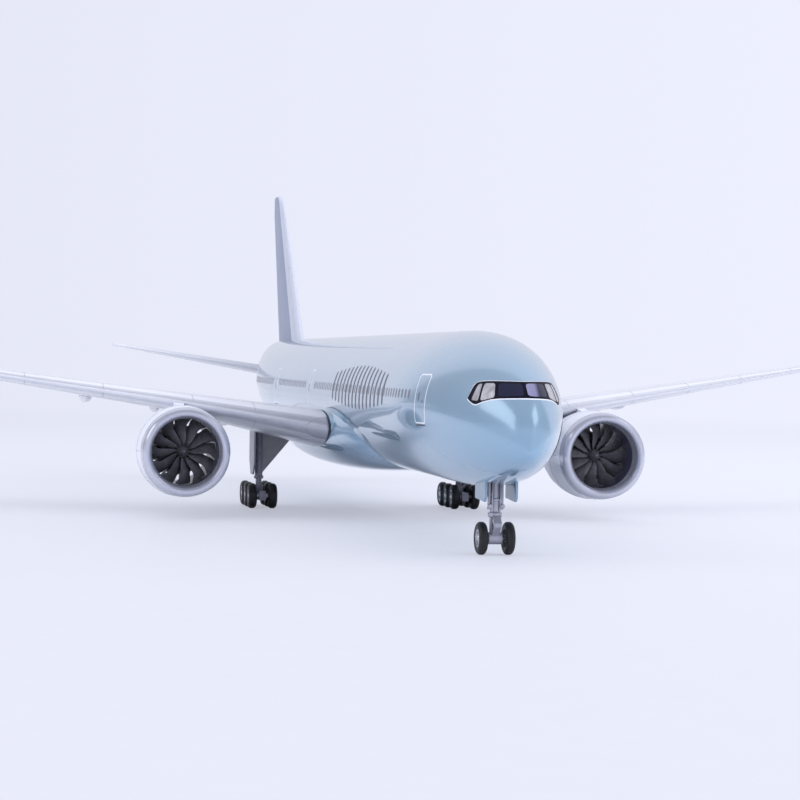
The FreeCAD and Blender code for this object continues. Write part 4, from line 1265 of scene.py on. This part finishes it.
def disc_floor():
    floor = Shape()
    rows = []
    for radius in (0.0005, 0.2, 0.5, 1.0, 1.6, 2.4, 3.4, 5.0):
        rows.append([Vector((radius * math.cos(a), radius * math.sin(a), 0)) for a in turns(96)])
    floor.grid(rows, wrap=True)
    return add_object("studio_floor", floor.mesh("studio_floor"))


BACKDROP = (0.800, 0.820, 0.940)
def brighter_to_port(tree, sideways):
    """Strength of the backdrop's light, which grows a little towards port."""
    return tree.spread(sideways, 0.965, 1.075, -0.25, 0.55, "SMOOTHSTEP")


def floor_material():
    """Matt floor that fades into the backdrop; the camera sees part of the glow close by as well."""
    n = Nodes("floor_sweep")
    reach = n.node("VectorMath", {"operation": "LENGTH"}, Vector=n.where).outputs["Value"]
    near = n.spread(n.node("LightPath").outputs["Is Camera Ray"], 0.0, 0.50)
    fade = n.spread(reach, near, 1.0, 0.55, 2.2, "SMOOTHSTEP")
    speckle = n.noise(120.0, 3.0)
    n.link(n.ramp(speckle, ((0.3, (0.755, 0.763, 0.790)), (0.7, (0.770, 0.778, 0.805)))), "Base Color")
    n.surface(Roughness=0.55, Specular_IOR_Level=0.25)
    bearing = n.node("VectorMath", {"operation": "NORMALIZE"}, Vector=n.where).outputs["Vector"]
    level = brighter_to_port(n, n.part(bearing, "X"))
    glow = n.node("Emission", Color=(*BACKDROP, 1.0), Strength=level)
    blend = n.node("MixShader", at={0: fade, 1: n.shader.outputs[0], 2: glow.outputs[0]})
    n.tree.links.new(blend.outputs[0], n.tree.nodes["Material Output"].inputs["Surface"])
    return n.material


floor = disc_floor()
floor.data.materials.append(floor_material())

world = bpy.data.worlds.new("studio")
bpy.context.scene.world = world
world.use_nodes = True
sky = Tree(world.node_tree)
direction = sky.node("TexCoord").outputs["Generated"]


def along_direction(normal, start, end):
    """0 to 1 as the ray direction's share along a normal passes from start to end."""
    dot = sky.node("VectorMath", {"operation": "DOT_PRODUCT"}, {0: direction, 1: normal}).outputs["Value"]
    return sky.spread(dot, 0.0, 1.0, start, end, "SMOOTHSTEP")


def chosen(factor, a, b):
    return sky.node("Mix", {"data_type": "FLOAT"}, {0: factor, 2: a, 3: b}).outputs[0]


# reflections: a bright sweep behind and above, a white board low in front, a dim room between them
sweep = along_direction((0.30, 0.84, 0.45), 0.66, 0.74)
board = along_direction((0.0, -0.36, -0.93), -0.25, -0.19)
mirrored = sky.math("MAXIMUM", sky.math("MULTIPLY", sweep, 0.90), sky.math("MULTIPLY", board, 0.74))
mirrored = sky.math("MAXIMUM", mirrored, 0.30)
ambient = sky.math("ADD", 1.06, sky.math("MULTIPLY", board, 0.62))
shown = brighter_to_port(sky, sky.part(direction, "X"))
rays = sky.node("LightPath").outputs
lit = chosen(rays["Is Diffuse Ray"], mirrored, ambient)
background = sky.tree.nodes["Background"]
background.inputs["Color"].default_value = (*BACKDROP, 1.0)
sky.tree.links.new(chosen(rays["Is Camera Ray"], lit, shown), background.inputs["Strength"])


COOL = (0.97, 0.98, 1.0)


def softbox(name, at, target, width, height, power, mirrored=True):
    """Rectangular lamp aimed at a point; mirrored says whether it shows in reflections."""
    lamp = bpy.data.lights.new(name, "AREA")
    lamp.shape = "RECTANGLE"
    lamp.size, lamp.size_y = width, height
    lamp.energy = power
    lamp.color = COOL
    made = add_object(name, lamp)
    made.location = at
    made.rotation_euler = (Vector(target) - Vector(at)).to_track_quat("-Z", "Y").to_euler()
    made.visible_camera = False
    made.visible_glossy = mirrored


softbox("overhead_softbox", (0.05, 0.35, 1.3), (0, 0.05, 0), 1.7, 1.5, 3.7, mirrored=False)
softbox("starboard_softbox", (-1.27, -0.12, 0.74), (0, -0.1, 0.04), 1.35, 0.62, 4.0)
softbox("port_softbox", (1.3, 0.25, 0.5), (0, 0, 0.05), 0.7, 0.8, 3.2, mirrored=False)
softbox("front_softbox", (0.82, -0.64, 0.80), (0, -0.2, 0.04), 0.55, 0.45, 1.2)
softbox("port_front_softbox", (1.6, -1.9, 0.5), (0.05, -0.1, 0.03), 1.4, 0.9, 11.0, mirrored=False)

camera = bpy.data.cameras.new("camera")
camera.sensor_width = 36.0
camera.lens = 103.055
camera.clip_start = 0.01
camera.clip_end = 50.0
view = add_object("camera", camera)
YAW, PITCH, ROLL = math.radians(10.648), math.radians(-0.584), math.radians(0.920)
ahead = Vector((math.sin(YAW) * math.cos(PITCH), math.cos(YAW) * math.cos(PITCH), math.sin(PITCH)))
level_right = ahead.cross(UP).normalized()
level_up = level_right.cross(ahead)
right = level_right * math.cos(ROLL) + level_up * math.sin(ROLL)
up = level_up * math.cos(ROLL) - level_right * math.sin(ROLL)
view.matrix_world = Matrix((right, up, -ahead)).transposed().to_4x4()
view.location = place(-20.09714, -80.96337, 6.85036)
bpy.context.scene.camera = view
bpy.context.scene.view_settings.view_transform = "Standard"
